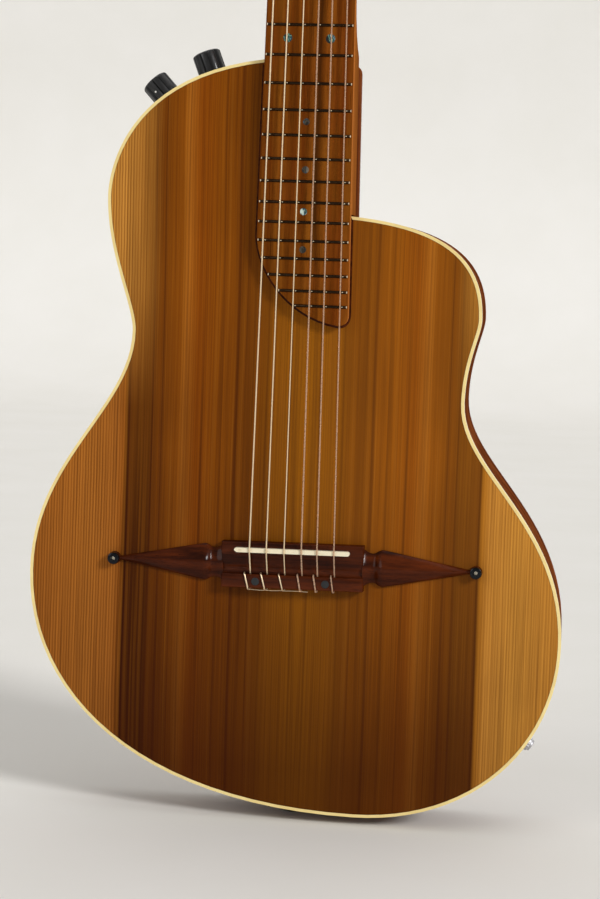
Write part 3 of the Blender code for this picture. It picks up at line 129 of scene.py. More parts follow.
topWood = {
    "seam": 4.0 * mm,            # the halves are book-matched about this line
    "wander": 1.6 * mm,          # how far the figure strays from straight
    "flankLines": 1.9 * mm,      # growth rings of the pale outer wood
    # distance from the seam in mm, colour
    "zones": ((0.0, "#965A0A"), (24.0, "#90540A"), (32.0, "#844908"), (44.5, "#7E4406"), (46.0, "#582904"),
              (47.6, "#8A4B08"), (60.0, "#904E08"), (73.0, "#8E4806"), (77.0, "#9C5712"), (81.0, "#A9641C"),
              (85.0, "#8C4C0A"), (95.0, "#7E4408"), (96.3, "#582A05"), (97.4, "#7C4208"), (101.8, "#784209"),
              (102.8, "#522605"), (103.9, "#74420B"), (112.0, "#804A0E"), (117.2, "#7A450E"), (118.9, "#4E2606"),
              (120.6, "#B4721E"), (126.0, "#D08E3A"), (145.0, "#D4943C"), (180.0, "#D08C36")),
    "dark": "#3A1602",
    "light": "#C07A26",
    "ring": "#7A3C0C",           # the late wood's lines
    # painted shade: the darker, redder tone given to the bass flank
    "paintedShadeBassFlank": "#BC6620",
    "inkAndPaintedShade": "#2C0A00",        # near-black of the inky figure lines; also painted shade, darker towards the tail end and over the bass half
    "paleCheek": "#CC903E",      # the wood pales towards the edges of the upper bout
}


def bandMask(tree, value, low, high, soft):  # 1 between two values, 0 outside them
    up = rescale(tree, value, low - soft, low + soft, 0.0, 1.0)
    return calculate(tree, "MULTIPLY", up, rescale(tree, value, high - soft, high + soft, 1.0, 0.0))


def makeTopWood():
    # Redwood, book-matched and lacquered: straight heartwood streaks, pale even flanks, a soft satin shine, with
    # painted shade on the bass half and the tail and painted light on the treble side
    values = topWood
    material, tree, shader = newMaterial("RedwoodTopLacquered", "#8A5520", 0.32,
                                         {"Coat Weight": 0.01, "Coat Roughness": 0.2, "Specular IOR Level": 0.05})
    coords = addNode(tree, "TexCoord", {}, {}).outputs["Object"]
    parts = addNode(tree, "SeparateXYZ", {}, {"Vector": coords}).outputs
    fromSeam = calculate(tree, "SUBTRACT", parts["X"], values["seam"])
    across = calculate(tree, "ABSOLUTE", fromSeam)
    drift = rescale(tree, noiseField(tree, (1.0, 1.0, 1.0), 3.0, 1.0, coords), 0.25, 0.75,
                    -values["wander"], values["wander"])
    bent = calculate(tree, "ADD", across, drift)
    straight = addNode(tree, "CombineXYZ", {}, {"X": bent, "Y": parts["Y"], "Z": parts["Z"]}).outputs[0]
    stops = tuple((place / 180.0, colour) for place, colour in values["zones"])
    share = calculate(tree, "DIVIDE", bent, 180 * mm)
    colour = addNode(tree, "ValToRGB", {"stops": stops}, {"Fac": share}).outputs[0]
    bass = rescale(tree, fromSeam, -45 * mm, 6 * mm, 1.0, 0.0)
    high = rescale(tree, parts["Z"], 270 * mm, 350 * mm, 0.0, 1.0)
    cheek = calculate(tree, "MULTIPLY", high, rescale(tree, bent, 98 * mm, 124 * mm, 0.0, 1.0))
    flank = calculate(tree, "MAXIMUM", rescale(tree, bent, 119 * mm, 122 * mm, 0.0, 1.0), cheek)
    heart = calculate(tree, "SUBTRACT", 1.0, flank)
    colour = mixColours(tree, cheek, colour, linear(values["paleCheek"]))
    # painted shade on the bass half, weaker on the upper bout; it also reddens the bass flank
    bassPaintedShade = calculate(tree, "MULTIPLY", bass, rescale(tree, high, 0.0, 1.0, 1.0, 0.25))
    bassFlankPaintedShade = calculate(tree, "MULTIPLY", calculate(tree, "MULTIPLY", flank, bassPaintedShade), 0.6)
    colour = mixColours(tree, bassFlankPaintedShade, colour, linear(values["paintedShadeBassFlank"]))
    broad = noiseField(tree, (60.0, 1.0, 0.9), 1.0, 2.0, straight)
    medium = noiseField(tree, (330.0, 1.0, 1.8), 1.0, 3.0, straight)
    fine = noiseField(tree, (1150.0, 1.0, 6.0), 1.0, 2.0, straight)
    cloud = noiseField(tree, (30.0, 1.0, 9.0), 1.0, 3.0, coords)
    dim = calculate(tree, "MULTIPLY", rescale(tree, broad, 0.48, 0.74, 0.0, 0.22), heart)
    colour = mixColours(tree, dim, colour, linear(values["dark"]))
    streaks = calculate(tree, "MULTIPLY", rescale(tree, medium, 0.53, 0.72, 0.0, 0.55), heart)
    colour = mixColours(tree, streaks, colour, linear(values["dark"]))
    glow = calculate(tree, "MULTIPLY", rescale(tree, medium, 0.26, 0.44, 0.32, 0.0), heart)
    colour = mixColours(tree, glow, colour, linear(values["light"]))
    rings = addNode(tree, "TexWave", {"wave_profile": "SIN", "bands_direction": "X"},
                    {"Vector": straight, "Scale": 0.314 / values["flankLines"], "Distortion": 1.1,
                     "Detail": 2.0, "Detail Scale": 0.6}).outputs["Fac"]
    sharp = calculate(tree, "POWER", rings, 2.2)
    ringDepth = rescale(tree, bass, 0.0, 1.0, 0.30, 0.64)
    ringShare = rescale(tree, flank, 0.0, 1.0, 0.38, 1.0)
    lines = calculate(tree, "MULTIPLY", calculate(tree, "MULTIPLY", sharp, ringDepth), ringShare)
    colour = mixColours(tree, lines, colour, linear(values["ring"]))
    colour = mixColours(tree, rescale(tree, fine, 0.40, 0.72, 0.0, 0.5), colour, linear("#4E2205"))
    colour = mixColours(tree, rescale(tree, cloud, 0.42, 0.75, 0.0, 0.22), colour, linear("#361402"))
    # near-black lines where the bass half's heartwood ends, below the waist
    below = rescale(tree, parts["Z"], 170 * mm, 300 * mm, 1.0, 0.0)
    border = calculate(tree, "MULTIPLY", calculate(tree, "MULTIPLY", below, bass),
                       bandMask(tree, bent, 101 * mm, 124 * mm, 3 * mm))
    inky = calculate(tree, "MULTIPLY", border, rescale(tree, medium, 0.47, 0.58, 0.12, 0.70))
    colour = mixColours(tree, inky, colour, linear(values["inkAndPaintedShade"]))
    # painted shade: darker towards the tail end, less on the pale flanks
    low = calculate(tree, "MULTIPLY", rescale(tree, parts["Z"], 30 * mm, 245 * mm, 0.74, 0.0),
                    rescale(tree, flank, 0.0, 1.0, 1.0, 0.5))
    colour = mixColours(tree, low, colour, linear(values["inkAndPaintedShade"]))
    # painted shade over the whole bass half
    colour = mixColours(tree, calculate(tree, "MULTIPLY", bassPaintedShade, 0.24), colour, linear(values["inkAndPaintedShade"]))
    # painted light: the treble side lighter, most on the upper bout
    trebleSidePaintedLight = calculate(tree, "MULTIPLY", rescale(tree, bass, 0.0, 1.0, 0.09, 0.0),
                     rescale(tree, parts["Z"], 60 * mm, 220 * mm, 0.2, 1.0))
    colour = mixColours(tree, trebleSidePaintedLight, colour, linear(values["light"]))
    tree.links.new(colour, shader.inputs["Base Color"])
    roughen(tree, shader, medium, 0.27, 0.38)
    raiseBump(tree, shader, fine, 0.00003)
    return material


def makePlainWood(name, tones, roughness, poreDepth, stretch=(95.0, 40.0, 2.4), coat=0.0, shine=0.5):
    # Open-pored hardwood: a soft two-tone figure along the length, short dark pores, satin to oiled surface
    dark, light, pore = tones
    material, tree, shader = newMaterial(name, light, roughness, {"Coat Weight": coat, "Coat Roughness": 0.15,
                                                                  "Specular IOR Level": shine})
    figure = noiseField(tree, stretch, 1.0, 4.0)
    slow = noiseField(tree, (9.0, 9.0, 3.0), 1.0, 2.0)
    pores = noiseField(tree, tuple(part * 9.0 for part in stretch), 1.0, 2.0)
    body = calculate(tree, "ADD", calculate(tree, "MULTIPLY", figure, 0.7),
                     calculate(tree, "MULTIPLY", slow, 0.3))
    colour = mixColours(tree, rescale(tree, body, 0.36, 0.64, 0.0, 1.0), linear(dark), linear(light))
    colour = mixColours(tree, rescale(tree, pores, 0.58, 0.72, 0.0, 0.7), colour, linear(pore))
    tree.links.new(colour, shader.inputs["Base Color"])
    roughen(tree, shader, figure, roughness - 0.06, roughness + 0.08)
    raiseBump(tree, shader, pores, -poreDepth)
    return material


boardWood = {
    "streak": (5.9 * mm, 9.0 * mm),   # one long dark streak on the treble side of the middle
    "streakEnd": 395 * mm,             # it fades out towards the bridge
}


def makeBoardWood():
    # Rosewood, quarter-sawn and oiled: warm brown with open pores along the neck and one near-black streak
    material, tree, shader = newMaterial("RosewoodBoard", "#734012", 0.5, {"Specular IOR Level": 0.0})
    coords = addNode(tree, "TexCoord", {}, {}).outputs["Object"]
    parts = addNode(tree, "SeparateXYZ", {}, {"Vector": coords}).outputs
    figure = noiseField(tree, (230.0, 60.0, 5.0), 1.0, 4.0, coords)
    patches = noiseField(tree, (40.0, 40.0, 14.0), 1.0, 2.0, coords)
    pores = noiseField(tree, (1500.0, 500.0, 60.0), 1.0, 2.0, coords)
    colour = mixColours(tree, rescale(tree, figure, 0.34, 0.66, 0.0, 1.0), linear("#5F2E09"), linear("#834C15"))
    colour = mixColours(tree, rescale(tree, patches, 0.46, 0.7, 0.0, 0.5), colour, linear("#74340E"))
    colour = mixColours(tree, rescale(tree, pores, 0.55, 0.72, 0.0, 0.55), colour, linear("#3C1C08"))
    wander = rescale(tree, noiseField(tree, (1.0, 1.0, 1.0), 12.0, 2.0, coords), 0.3, 0.7, -0.6 * mm, 0.6 * mm)
    low, high = boardWood["streak"]
    streak = bandMask(tree, calculate(tree, "ADD", parts["X"], wander), low, high, 1.1 * mm)
    fading = rescale(tree, parts["Z"], boardWood["streakEnd"] - 40 * mm, boardWood["streakEnd"], 0.0, 0.8)
    colour = mixColours(tree, calculate(tree, "MULTIPLY", streak, fading), colour, linear("#331A08"))
    facing = addNode(tree, "SeparateXYZ", {}, {"Vector": addNode(tree, "NewGeometry", {}, {}).outputs["Normal"]})
    edge = rescale(tree, facing.outputs["X"], 0.5, 0.8, 0.0, 0.85)  # painted light: the treble side face is painted paler than the face, as if lit from that side
    colour = mixColours(tree, edge, colour, linear("#B06A30"))
    tree.links.new(colour, shader.inputs["Base Color"])
    roughen(tree, shader, figure, 0.4, 0.54)
    raiseBump(tree, shader, pores, -0.00004)
    return material


def makeIvoroid():
    # Grained cream celluloid, scraped and buffed: faint parallel lines and a wax-like shine
    material, tree, shader = newMaterial("IvoroidBinding", "#E9D089", 0.28,
                                         {"Coat Weight": 0.3, "Coat Roughness": 0.12, "IOR": 1.5})
    grain = noiseField(tree, (60.0, 420.0, 60.0), 1.0, 2.0)
    patches = noiseField(tree, (1.0, 1.0, 1.0), 14.0, 3.0)
    colour = mixColours(tree, rescale(tree, grain, 0.4, 0.65, 0.0, 0.35), linear("#EFD994"), linear("#D3B266"))
    colour = mixColours(tree, rescale(tree, patches, 0.45, 0.75, 0.0, 0.3), colour, linear("#E0C47C"))
    tree.links.new(colour, shader.inputs["Base Color"])
    roughen(tree, shader, patches, 0.24, 0.36)
    raiseBump(tree, shader, grain, 0.00002)
    return material


def makeBone():
    # Bleached bone, filed and polished: warm white with tiny darker flecks along its length
    material, tree, shader = newMaterial("PolishedBone", "#E6DAB9", 0.32, {"Subsurface Weight": 0.08,
                                         "Subsurface Radius": (0.002, 0.0015, 0.001), "Subsurface Scale": 0.5})
    flecks = noiseField(tree, (180.0, 900.0, 900.0), 1.0, 3.0)
    colour = mixColours(tree, rescale(tree, flecks, 0.55, 0.75, 0.0, 0.4), linear("#E9DEC0"), linear("#BFA878"))
    tree.links.new(colour, shader.inputs["Base Color"])
    roughen(tree, shader, flecks, 0.27, 0.4)
    raiseBump(tree, shader, flecks, -0.00002)
    return material


def makeMetal(name, colour, roughness, tint, scale=180.0, stretch=(1.0, 1.0, 1.0)):
    # A finished metal: fine polishing marks vary its shine, and handling dulls it in patches
    material, tree, shader = newMaterial(name, colour, roughness, {"Metallic": 1.0})
    marks = noiseField(tree, stretch, scale * 12, 2.0)
    dull = noiseField(tree, stretch, scale, 3.0)
    colourOut = mixColours(tree, rescale(tree, dull, 0.45, 0.8, 0.0, 0.5), linear(colour), linear(tint))
    tree.links.new(colourOut, shader.inputs["Base Color"])
    roughen(tree, shader, dull, max(roughness - 0.05, 0.04), roughness + 0.12)
    raiseBump(tree, shader, marks, 0.000006)
    return material


def makePlastic(name, colour, roughness, dust, scale=260.0, depth=0.00001, coat=0.0, clear=0.0):
    # Moulded plastic: a hint of mould texture, and dust or skin oil that greys the shine
    material, tree, shader = newMaterial(name, colour, roughness, {"IOR": 1.5, "Coat Weight": coat,
                                         "Coat Roughness": 0.06, "Transmission Weight": clear})
    texture = noiseField(tree, (1.0, 1.0, 1.0), scale * 8, 2.0)
    handled = noiseField(tree, (1.0, 1.0, 1.0), scale, 4.0)
    colourOut = mixColours(tree, rescale(tree, handled, 0.5, 0.8, 0.0, 0.35), linear(colour), linear(dust))
    tree.links.new(colourOut, shader.inputs["Base Color"])
    roughen(tree, shader, handled, roughness - 0.04, roughness + 0.12)
    raiseBump(tree, shader, texture, depth)
    return material


def makeAbalone(name, tones):
    # Abalone shell, ground flat and polished: blue, green and grey bands that wave through each dot
    material, tree, shader = newMaterial(name, tones[1], 0.14, {"IOR": 1.53, "Coat Weight": 0.1,
                                                                "Coat Roughness": 0.05})
    waves = noiseField(tree, (1.0, 1.0, 0.55), 260.0, 2.0)
    places = (0.36, 0.44, 0.50, 0.54, 0.60, 0.66)
    colour = addNode(tree, "ValToRGB", {"stops": tuple(zip(places, tones))}, {"Fac": waves}).outputs[0]
    tree.links.new(colour, shader.inputs["Base Color"])
    roughen(tree, shader, waves, 0.10, 0.22)
    return material


looks = {
    "top": makeTopWood(),
    "rim": makePlainWood("MahoganySides", ("#4E2310", "#7C4220", "#2A120A"), 0.52, 0.00003, (60.0, 60.0, 14.0),
                         0.0, 0.0),
    "back": makePlainWood("MahoganyBack", ("#512512", "#834A26", "#2A130A"), 0.42, 0.00003, (95.0, 40.0, 2.4),
                          0.1, 0.3),
    "neck": makePlainWood("CedarNeck", ("#784319", "#A36027", "#4E2A10"), 0.50, 0.00003, (95.0, 60.0, 2.4),
                          0.0, 0.0),
    "bridge": makePlainWood("RosewoodBridge", ("#260C04", "#55230A", "#120502"), 0.28, 0.00003,
                            (14.0, 160.0, 220.0), 0.2, 0.0),
    "board": makeBoardWood(),
    "veneer": makePlainWood("RosewoodVeneer", ("#2E140B", "#5A2D18", "#190A06"), 0.30, 0.00003,
                            (160.0, 60.0, 6.0), 0.3),
    "spruce": makePlainWood("RawSpruce", ("#B98E58", "#D4B27C", "#A67A45"), 0.60, 0.00005, (300.0, 60.0, 3.0)),
    "ivoroid": makeIvoroid(),
    "bone": makeBone(),
    "plug": makePlastic("EbonyPlug", "#15171A", 0.45, "#24272B", 300.0, 0.00001),
    # painted highlight: bright metal for the glints at the fret ends and beside the strings
    "fretGlint": makeMetal("FretPaintedHighlight", "#FFF2D4", 0.42, "#EADDB8"),
    # painted reflection: the fret wire is coloured near-black brown, as if reflecting a dark room
    "fret": makeMetal("FretWirePaintedDarkReflection", "#33261A", 0.26, "#1E150E"),
    "abalone": makeAbalone("AbaloneShell", ("#101614", "#16302E", "#6A9888", "#141E1E", "#2A5C6A", "#C8DCD0")),
    "dimShell": makeAbalone("GreyAbaloneShell", ("#1E1A14", "#3A342A", "#4E4638", "#26241E", "#2E4450", "#7A6E5C")),
    "knob": makePlastic("BlackABSKnob", "#09090A", 0.34, "#141312", 300.0, 0.000006, 0.15),
    "whitePaint": makePlastic("WhiteMarkerPaint", "#EDEBE4", 0.35, "#CFCCC2", 600.0, 0.000004),
    "ivory": makePlastic("IvoryAcetal", "#E8E2D2", 0.3, "#C9BFA6", 300.0, 0.00001),
    "woundString": makeMetal("SilveredWinding", "#F6E0BC", 0.40, "#DCC49C", 400.0),
    "nylonString": makePlastic("ClearNylon", "#E4BE9C", 0.25, "#ECCCB0", 500.0, 0.000004, 0.0, 0.58),
    "nickel": makeMetal("NickelSilver", "#B9B2A2", 0.22, "#8E8676"),
    "chrome": makeMetal("ChromePlate", "#D8D8DA", 0.12, "#A6A6A8"),
    "satinChrome": makeMetal("SatinChrome", "#C6C6CA", 0.46, "#B4B4B8"),
    "gold": makeMetal("GoldPlatedBrass", "#C9A04E", 0.22, "#8E6A2A"),
    "blackSteel": makeMetal("BlackOxideSteel", "#25252B", 0.34, "#4A4038"),
    "blackPlate": makeMetal("BlackChromePlate", "#26282C", 0.18, "#1A1B1D"),
    "gloss": makePlastic("BlackPhenolic", "#0B0B0C", 0.16, "#26241F", 260.0, 0.000004, 0.5),
    "satin": makePlastic("BlackABS", "#121213", 0.42, "#2A2825", 200.0, 0.00002),
    "pearl": makePlastic("PearloidButton", "#D9D2BF", 0.18, "#B5AC93", 420.0, 0.000004, 0.5),
}
print("materials made:", len(looks))

nodeLooks = {
    "top_plate": "top", "back_plate": "back", "side_bass": "rim", "side_treble": "rim", "top_binding": "ivoroid",
    "top_lining": "spruce", "back_lining": "spruce", "neck_block": "neck", "end_block": "spruce",
    "top_brace": "spruce", "back_brace": "spruce", "access_cover": "satin", "cover_screw_1": "blackSteel",
    "cover_screw_2": "blackSteel", "bridge": "bridge", "plug_bass": "gloss", "plug_treble": "gloss",
    "saddle": "bone", "bridge_bolt_bass": "blackPlate", "bridge_bolt_treble": "blackPlate", "neck": "neck",
    "neck_bolt_1": "blackSteel", "neck_bolt_2": "blackSteel", "fingerboard": "board", "frets": "nickel",
    "nut": "bone", "headstock": "neck", "head_veneer": "veneer", "tuner_plate_bass": "gold",
    "tuner_plate_treble": "gold", "knob_1": "gloss", "knob_2": "gloss", "pot_1": "nickel", "pot_2": "nickel",
    "output_jack": "chrome", "strap_button": "gloss", "battery": "satin", "preamp": "satin",
}
for name in stringNames:
    nodeLooks["roller_" + name] = "gold"
    nodeLooks["tuner_" + name] = "pearl"
    nodeLooks["string_" + name] = "nickel" if name in stringNames[:3] else "bone"
for name, look in nodeLooks.items():
    cadNodes[name].data.materials.clear()
    cadNodes[name].data.materials.append(looks[look])
print("materials on the CAD nodes:", len(nodeLooks))


def activate(obj):
    if bpy.context.mode != "OBJECT":
        bpy.ops.object.mode_set(mode="OBJECT")
    bpy.ops.object.select_all(action="DESELECT")
    obj.select_set(True)
    bpy.context.view_layer.objects.active = obj


def pickVerts(obj, test):  # in edit mode: selects the vertices whose place passes the test
    bpy.ops.mesh.select_mode(type="VERT")
    bpy.ops.mesh.select_all(action="DESELECT")
    mesh = bmesh.from_edit_mesh(obj.data)
    for vertex in mesh.verts:
        vertex.select = bool(test(vertex.co))
    mesh.select_flush_mode()
    bmesh.update_edit_mesh(obj.data)


def pickEdges(obj, test, sharpest=50.0):  # edges between faces that meet more sharply than this angle
    bpy.ops.mesh.select_mode(type="EDGE")
    bpy.ops.mesh.select_all(action="DESELECT")
    mesh = bmesh.from_edit_mesh(obj.data)
    for edge in mesh.edges:
        sharp = len(edge.link_faces) == 2 and math.degrees(edge.calc_face_angle(0.0)) > sharpest
        edge.select = sharp and all(test(vertex.co) for vertex in edge.verts)
    mesh.select_flush_mode()
    bmesh.update_edit_mesh(obj.data)


def pickFaces(obj, test):
    bpy.ops.mesh.select_mode(type="FACE")
    bpy.ops.mesh.select_all(action="DESELECT")
    mesh = bmesh.from_edit_mesh(obj.data)
    for face in mesh.faces:
        face.select = bool(test(face.calc_center_median(), face.normal))
    mesh.select_flush_mode()
    bmesh.update_edit_mesh(obj.data)


def editMesh(obj):
    activate(obj)
    bpy.ops.object.mode_set(mode="EDIT")


def tidyMesh(obj):  # merges doubles and points all faces outwards
    editMesh(obj)
    bpy.ops.mesh.select_all(action="SELECT")
    bpy.ops.mesh.remove_doubles(threshold=0.000005)
    bpy.ops.mesh.normals_make_consistent(inside=False)
    bpy.ops.object.mode_set(mode="OBJECT")


def easeEdges(obj, test, width, segments=3, sharpest=50.0):  # rounds the sharp edges that pass the test
    tidyMesh(obj)
    editMesh(obj)
    pickEdges(obj, test, sharpest)
    bpy.ops.mesh.bevel(offset=width, segments=segments, affect="EDGES", clamp_overlap=True)
    bpy.ops.object.mode_set(mode="OBJECT")


def easeUprights(block, width):  # rounds the four edges of a block that run from front to back
    editMesh(block)
    bpy.ops.mesh.select_mode(type="EDGE")
    mesh = bmesh.from_edit_mesh(block.data)
    for edge in mesh.edges:
        edge.select = abs(edge.verts[0].co.y - edge.verts[1].co.y) > 0.0005
    bmesh.update_edit_mesh(block.data)
    bpy.ops.mesh.bevel(offset=width, segments=6, affect="EDGES")
    bpy.ops.object.mode_set(mode="OBJECT")


def applyModifier(obj, kind, settings):
    activate(obj)
    modifier = obj.modifiers.new(kind.lower(), kind)
    for name, value in settings.items():
        setattr(modifier, name, value)
    bpy.ops.object.modifier_apply(modifier=modifier.name)


def cutAway(obj, cutter, operation="DIFFERENCE"):  # the cutter is used up
    for part in (obj, cutter):
        tidyMesh(part)
    applyModifier(obj, "BOOLEAN", {"operation": operation, "solver": "EXACT", "object": cutter})
    bpy.data.objects.remove(cutter, do_unlink=True)


def bevelAll(obj, width, segments=2, angle=40.0):
    applyModifier(obj, "BEVEL", {"width": width, "segments": segments, "limit_method": "ANGLE",
                                 "angle_limit": math.radians(angle)})


def setPlace(obj, matrix=None):  # moves the place into the mesh and leaves the object at the origin
    bpy.context.view_layer.update()
    obj.data.transform((matrix or Matrix.Identity(4)) @ obj.matrix_world)
    obj.matrix_world = Matrix.Identity(4)


def copyPiece(obj, matrix):
    twin = obj.copy()
    twin.data = obj.data.copy()
    bpy.context.scene.collection.objects.link(twin)
    setPlace(twin, matrix)
    return twin


def joinPieces(parts):
    activate(parts[0])
    for part in parts[1:]:
        part.select_set(True)
    bpy.ops.object.join()
    return bpy.context.object


def finishPiece(obj, name, look, body="guitar", replaced=(), smoothAngle=35.0):
    setPlace(obj)
    tidyMesh(obj)
    bpy.ops.object.shade_smooth_by_angle(angle=math.radians(smoothAngle))
    obj.name = name
    obj.data.name = name
    obj.data.materials.clear()
    obj.data.materials.append(looks[look])
    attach(obj, body)
    if replaced:
        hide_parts(*replaced)
    return obj


def addBlock(xRange, yRange, zRange):
    ranges = (xRange, yRange, zRange)
    bpy.ops.mesh.primitive_cube_add(size=1.0, location=[sum(pair) / 2 for pair in ranges],
                                    scale=[abs(pair[1] - pair[0]) for pair in ranges])
    block = bpy.context.object
    setPlace(block)
    return block


def alongLine(start, end):  # the place of a shape whose Z runs from the start towards the end
    run = Vector(end) - Vector(start)
    return Matrix.Translation(Vector(start)) @ run.to_track_quat("Z", "Y").to_matrix().to_4x4()


def addRod(radius, start, end, sides=32):
    length = (Vector(end) - Vector(start)).length
    bpy.ops.mesh.primitive_cylinder_add(vertices=sides, radius=radius, depth=length, location=(0, 0, length / 2))
    rod = bpy.context.object
    setPlace(rod, alongLine(start, end))
    return rod


def skinThrough(rings):  # one filled circle, shaped to the first ring and extruded from ring to ring
    bpy.ops.mesh.primitive_circle_add(vertices=len(rings[0]), radius=1.0, fill_type="NGON")
    skin = bpy.context.object
    editMesh(skin)
    bpy.ops.mesh.select_mode(type="FACE")
    bpy.ops.mesh.select_all(action="SELECT")
    order = {}
    for ring in rings:
        if order:
            bpy.ops.mesh.extrude_region_move()
        mesh = bmesh.from_edit_mesh(skin.data)
        corners = next(face for face in mesh.faces if face.select).verts[:]
        numbers = [order[tuple(corner.co)] for corner in corners] if order else range(len(corners))
        order = {}
        for corner, number in zip(corners, numbers):
            corner.co = ring[number]
            order[tuple(corner.co)] = number
        bmesh.update_edit_mesh(skin.data)
    bpy.ops.object.mode_set(mode="OBJECT")
    return skin


def turnPiece(profile, place, sides=48):  # a turned shape from (radius, height) pairs
    turns = [(math.cos(2 * math.pi * step / sides), math.sin(2 * math.pi * step / sides))
             for step in range(sides)]
    piece = skinThrough([[(radius * x, radius * y, height) for x, y in turns] for radius, height in profile])
    setPlace(piece, place)
    return piece


def away(heading, length):  # a handle along a heading in degrees
    return Vector((math.cos(math.radians(heading)) * length, math.sin(math.radians(heading)) * length))


def drawPath(loops, steps=24, **shape):
    # A flat curve in x and z. Each loop is a list of knots: x, z, handle before, handle after
    bpy.ops.curve.primitive_bezier_curve_add()
    path = bpy.context.object
    path.data.dimensions = "2D"
    path.data.fill_mode = "BOTH"
    for name, value in shape.items():
        setattr(path.data, name, value)
    while path.data.splines:
        path.data.splines.remove(path.data.splines[0])
    for knots in loops:
        spline = path.data.splines.new("BEZIER")
        spline.bezier_points.add(len(knots) - 1)
        spline.use_cyclic_u = True
        spline.resolution_u = steps
        for point, (x, z, before, after) in zip(spline.bezier_points, knots):
            point.handle_left_type = point.handle_right_type = "FREE"
            point.co = (x, z, 0.0)
            point.handle_left = (x - before[0], z - before[1], 0.0)
            point.handle_right = (x + after[0], z + after[1], 0.0)
    return path


def standUp(path, frontY, backY):  # the flat curve becomes a solid that stands in x and z
    path.data.extrude = (backY - frontY) / 2
    activate(path)
    bpy.ops.object.convert(target="MESH")
    solid = bpy.context.object
    upright = Matrix.Rotation(math.pi / 2, 4, "X")
    setPlace(solid, Matrix.Translation((0.0, (frontY + backY) / 2, 0.0)) @ upright)
    tidyMesh(solid)
    return solid


def corner(x, z):
    return (x, z, (0.0, 0.0), (0.0, 0.0))


def drawWire(points, radius, name="wire", sides=4, smooth=True, steps=8):  # a round wire through places
    bpy.ops.curve.primitive_bezier_curve_add()
    wire = bpy.context.object
    wire.data.dimensions = "3D"
    wire.data.bevel_depth = radius
    wire.data.bevel_resolution = sides
    wire.data.use_fill_caps = True
    wire.data.resolution_u = steps
    spline = wire.data.splines[0]
    spline.bezier_points.add(len(points) - 2)
    for point, place in zip(spline.bezier_points, points):
        point.handle_left_type = point.handle_right_type = "AUTO" if smooth else "VECTOR"
        point.co = place
    activate(wire)
    bpy.ops.object.convert(target="MESH")
    return bpy.context.object


guitar = {
    "topY": -32 * mm,
    "backY": 32 * mm,
    "scale": 650 * mm,
    "saddleZ": 179 * mm,
    "nutZ": 829 * mm,
    "boardY": -39.3 * mm,
    "nutWidth": 50.2 * mm,
    "width12": 58.4 * mm,
    "shelfY": -4 * mm,
    "pocketZ": 401.7 * mm,
    "fine": 0.15 * mm,           # the hairline between pieces that are glued together
    "spreadSaddle": 56.2 * mm,
    "spreadNut": 41.5 * mm,
    "stringShift": (0.0, 0.05 * mm, 0.65 * mm, 0.9 * mm, 0.05 * mm, 0.1 * mm),  # from even spacing
}


def halfBoard(z):
    share = (guitar["nutZ"] - z) / (guitar["scale"] / 2)
    return (guitar["nutWidth"] + (guitar["width12"] - guitar["nutWidth"]) * share) / 2


def stringX(index, z):
    share = (z - guitar["saddleZ"]) / guitar["scale"]
    spread = guitar["spreadSaddle"] + (guitar["spreadNut"] - guitar["spreadSaddle"]) * share
    return (index / 5.0 - 0.5) * spread + guitar["stringShift"][index]


bodyShape = {
    # x, z, heading, handle before and after, clockwise as seen from behind, from the bass shoulder
    "knots": ((-29.53 * mm, 501.5 * mm, 187.5, 0.0, 104 * mm), (-132.5 * mm, 410 * mm, -90, 3 * mm, 38 * mm),
              (-113.4 * mm, 321 * mm, -90, 17 * mm, 52 * mm), (-179.9 * mm, 156 * mm, -90, 77 * mm, 85 * mm),
              (45.7 * mm, 0.0, 0, 148 * mm, 81 * mm), (179.3 * mm, 124 * mm, 90, 68 * mm, 81 * mm),
              (109.2 * mm, 281 * mm, 90, 45 * mm, 28 * mm), (118.6 * mm, 336 * mm, 90, 10 * mm, 35 * mm),
              (29.2 * mm, 401 * mm, 176, 70 * mm, 0.0), (27.98 * mm, 498 * mm, 90, 0.0, 5.6 * mm),
              (17.98 * mm, 505 * mm, 180, 5.5 * mm, 0.0)),
    "binding": 2.0 * mm,
    "bindingDepth": 6 * mm,
    "bindingEdge": 1.1 * mm,
    "topThick": 3 * mm,
    "backThick": 3.2 * mm,
    "backEdge": 1.6 * mm,
    "sideThick": 2.6 * mm,
    "neckBolts": (430 * mm, 475 * mm),
    "hatch": (-86 * mm, 418 * mm, 62 * mm, 46 * mm),  # centre x and z, width and height
    "hatchCorner": 4.0 * mm,
}


def bodySlab(frontY, backY, inset=0.0):
    knots = [(x, z, away(heading, before), away(heading, after))
             for x, z, heading, before, after in bodyShape["knots"]]
    return standUp(drawPath([knots], offset=-inset), frontY, backY)


def cutPocket(obj, backY, lowZ=None):  # room for the neck and its shelf, open to the treble side
    low, high, cut = lowZ or guitar["pocketZ"], 520 * mm, 45 * mm
    rings = []
    for y in (guitar["topY"] - 5 * mm, backY):
        rings.append([(-halfBoard(low) - 0.3 * mm, y, low), (cut, y, low), (cut, y, high),
                      (-halfBoard(high) - 0.3 * mm, y, high)])
    cutAway(obj, skinThrough(rings))


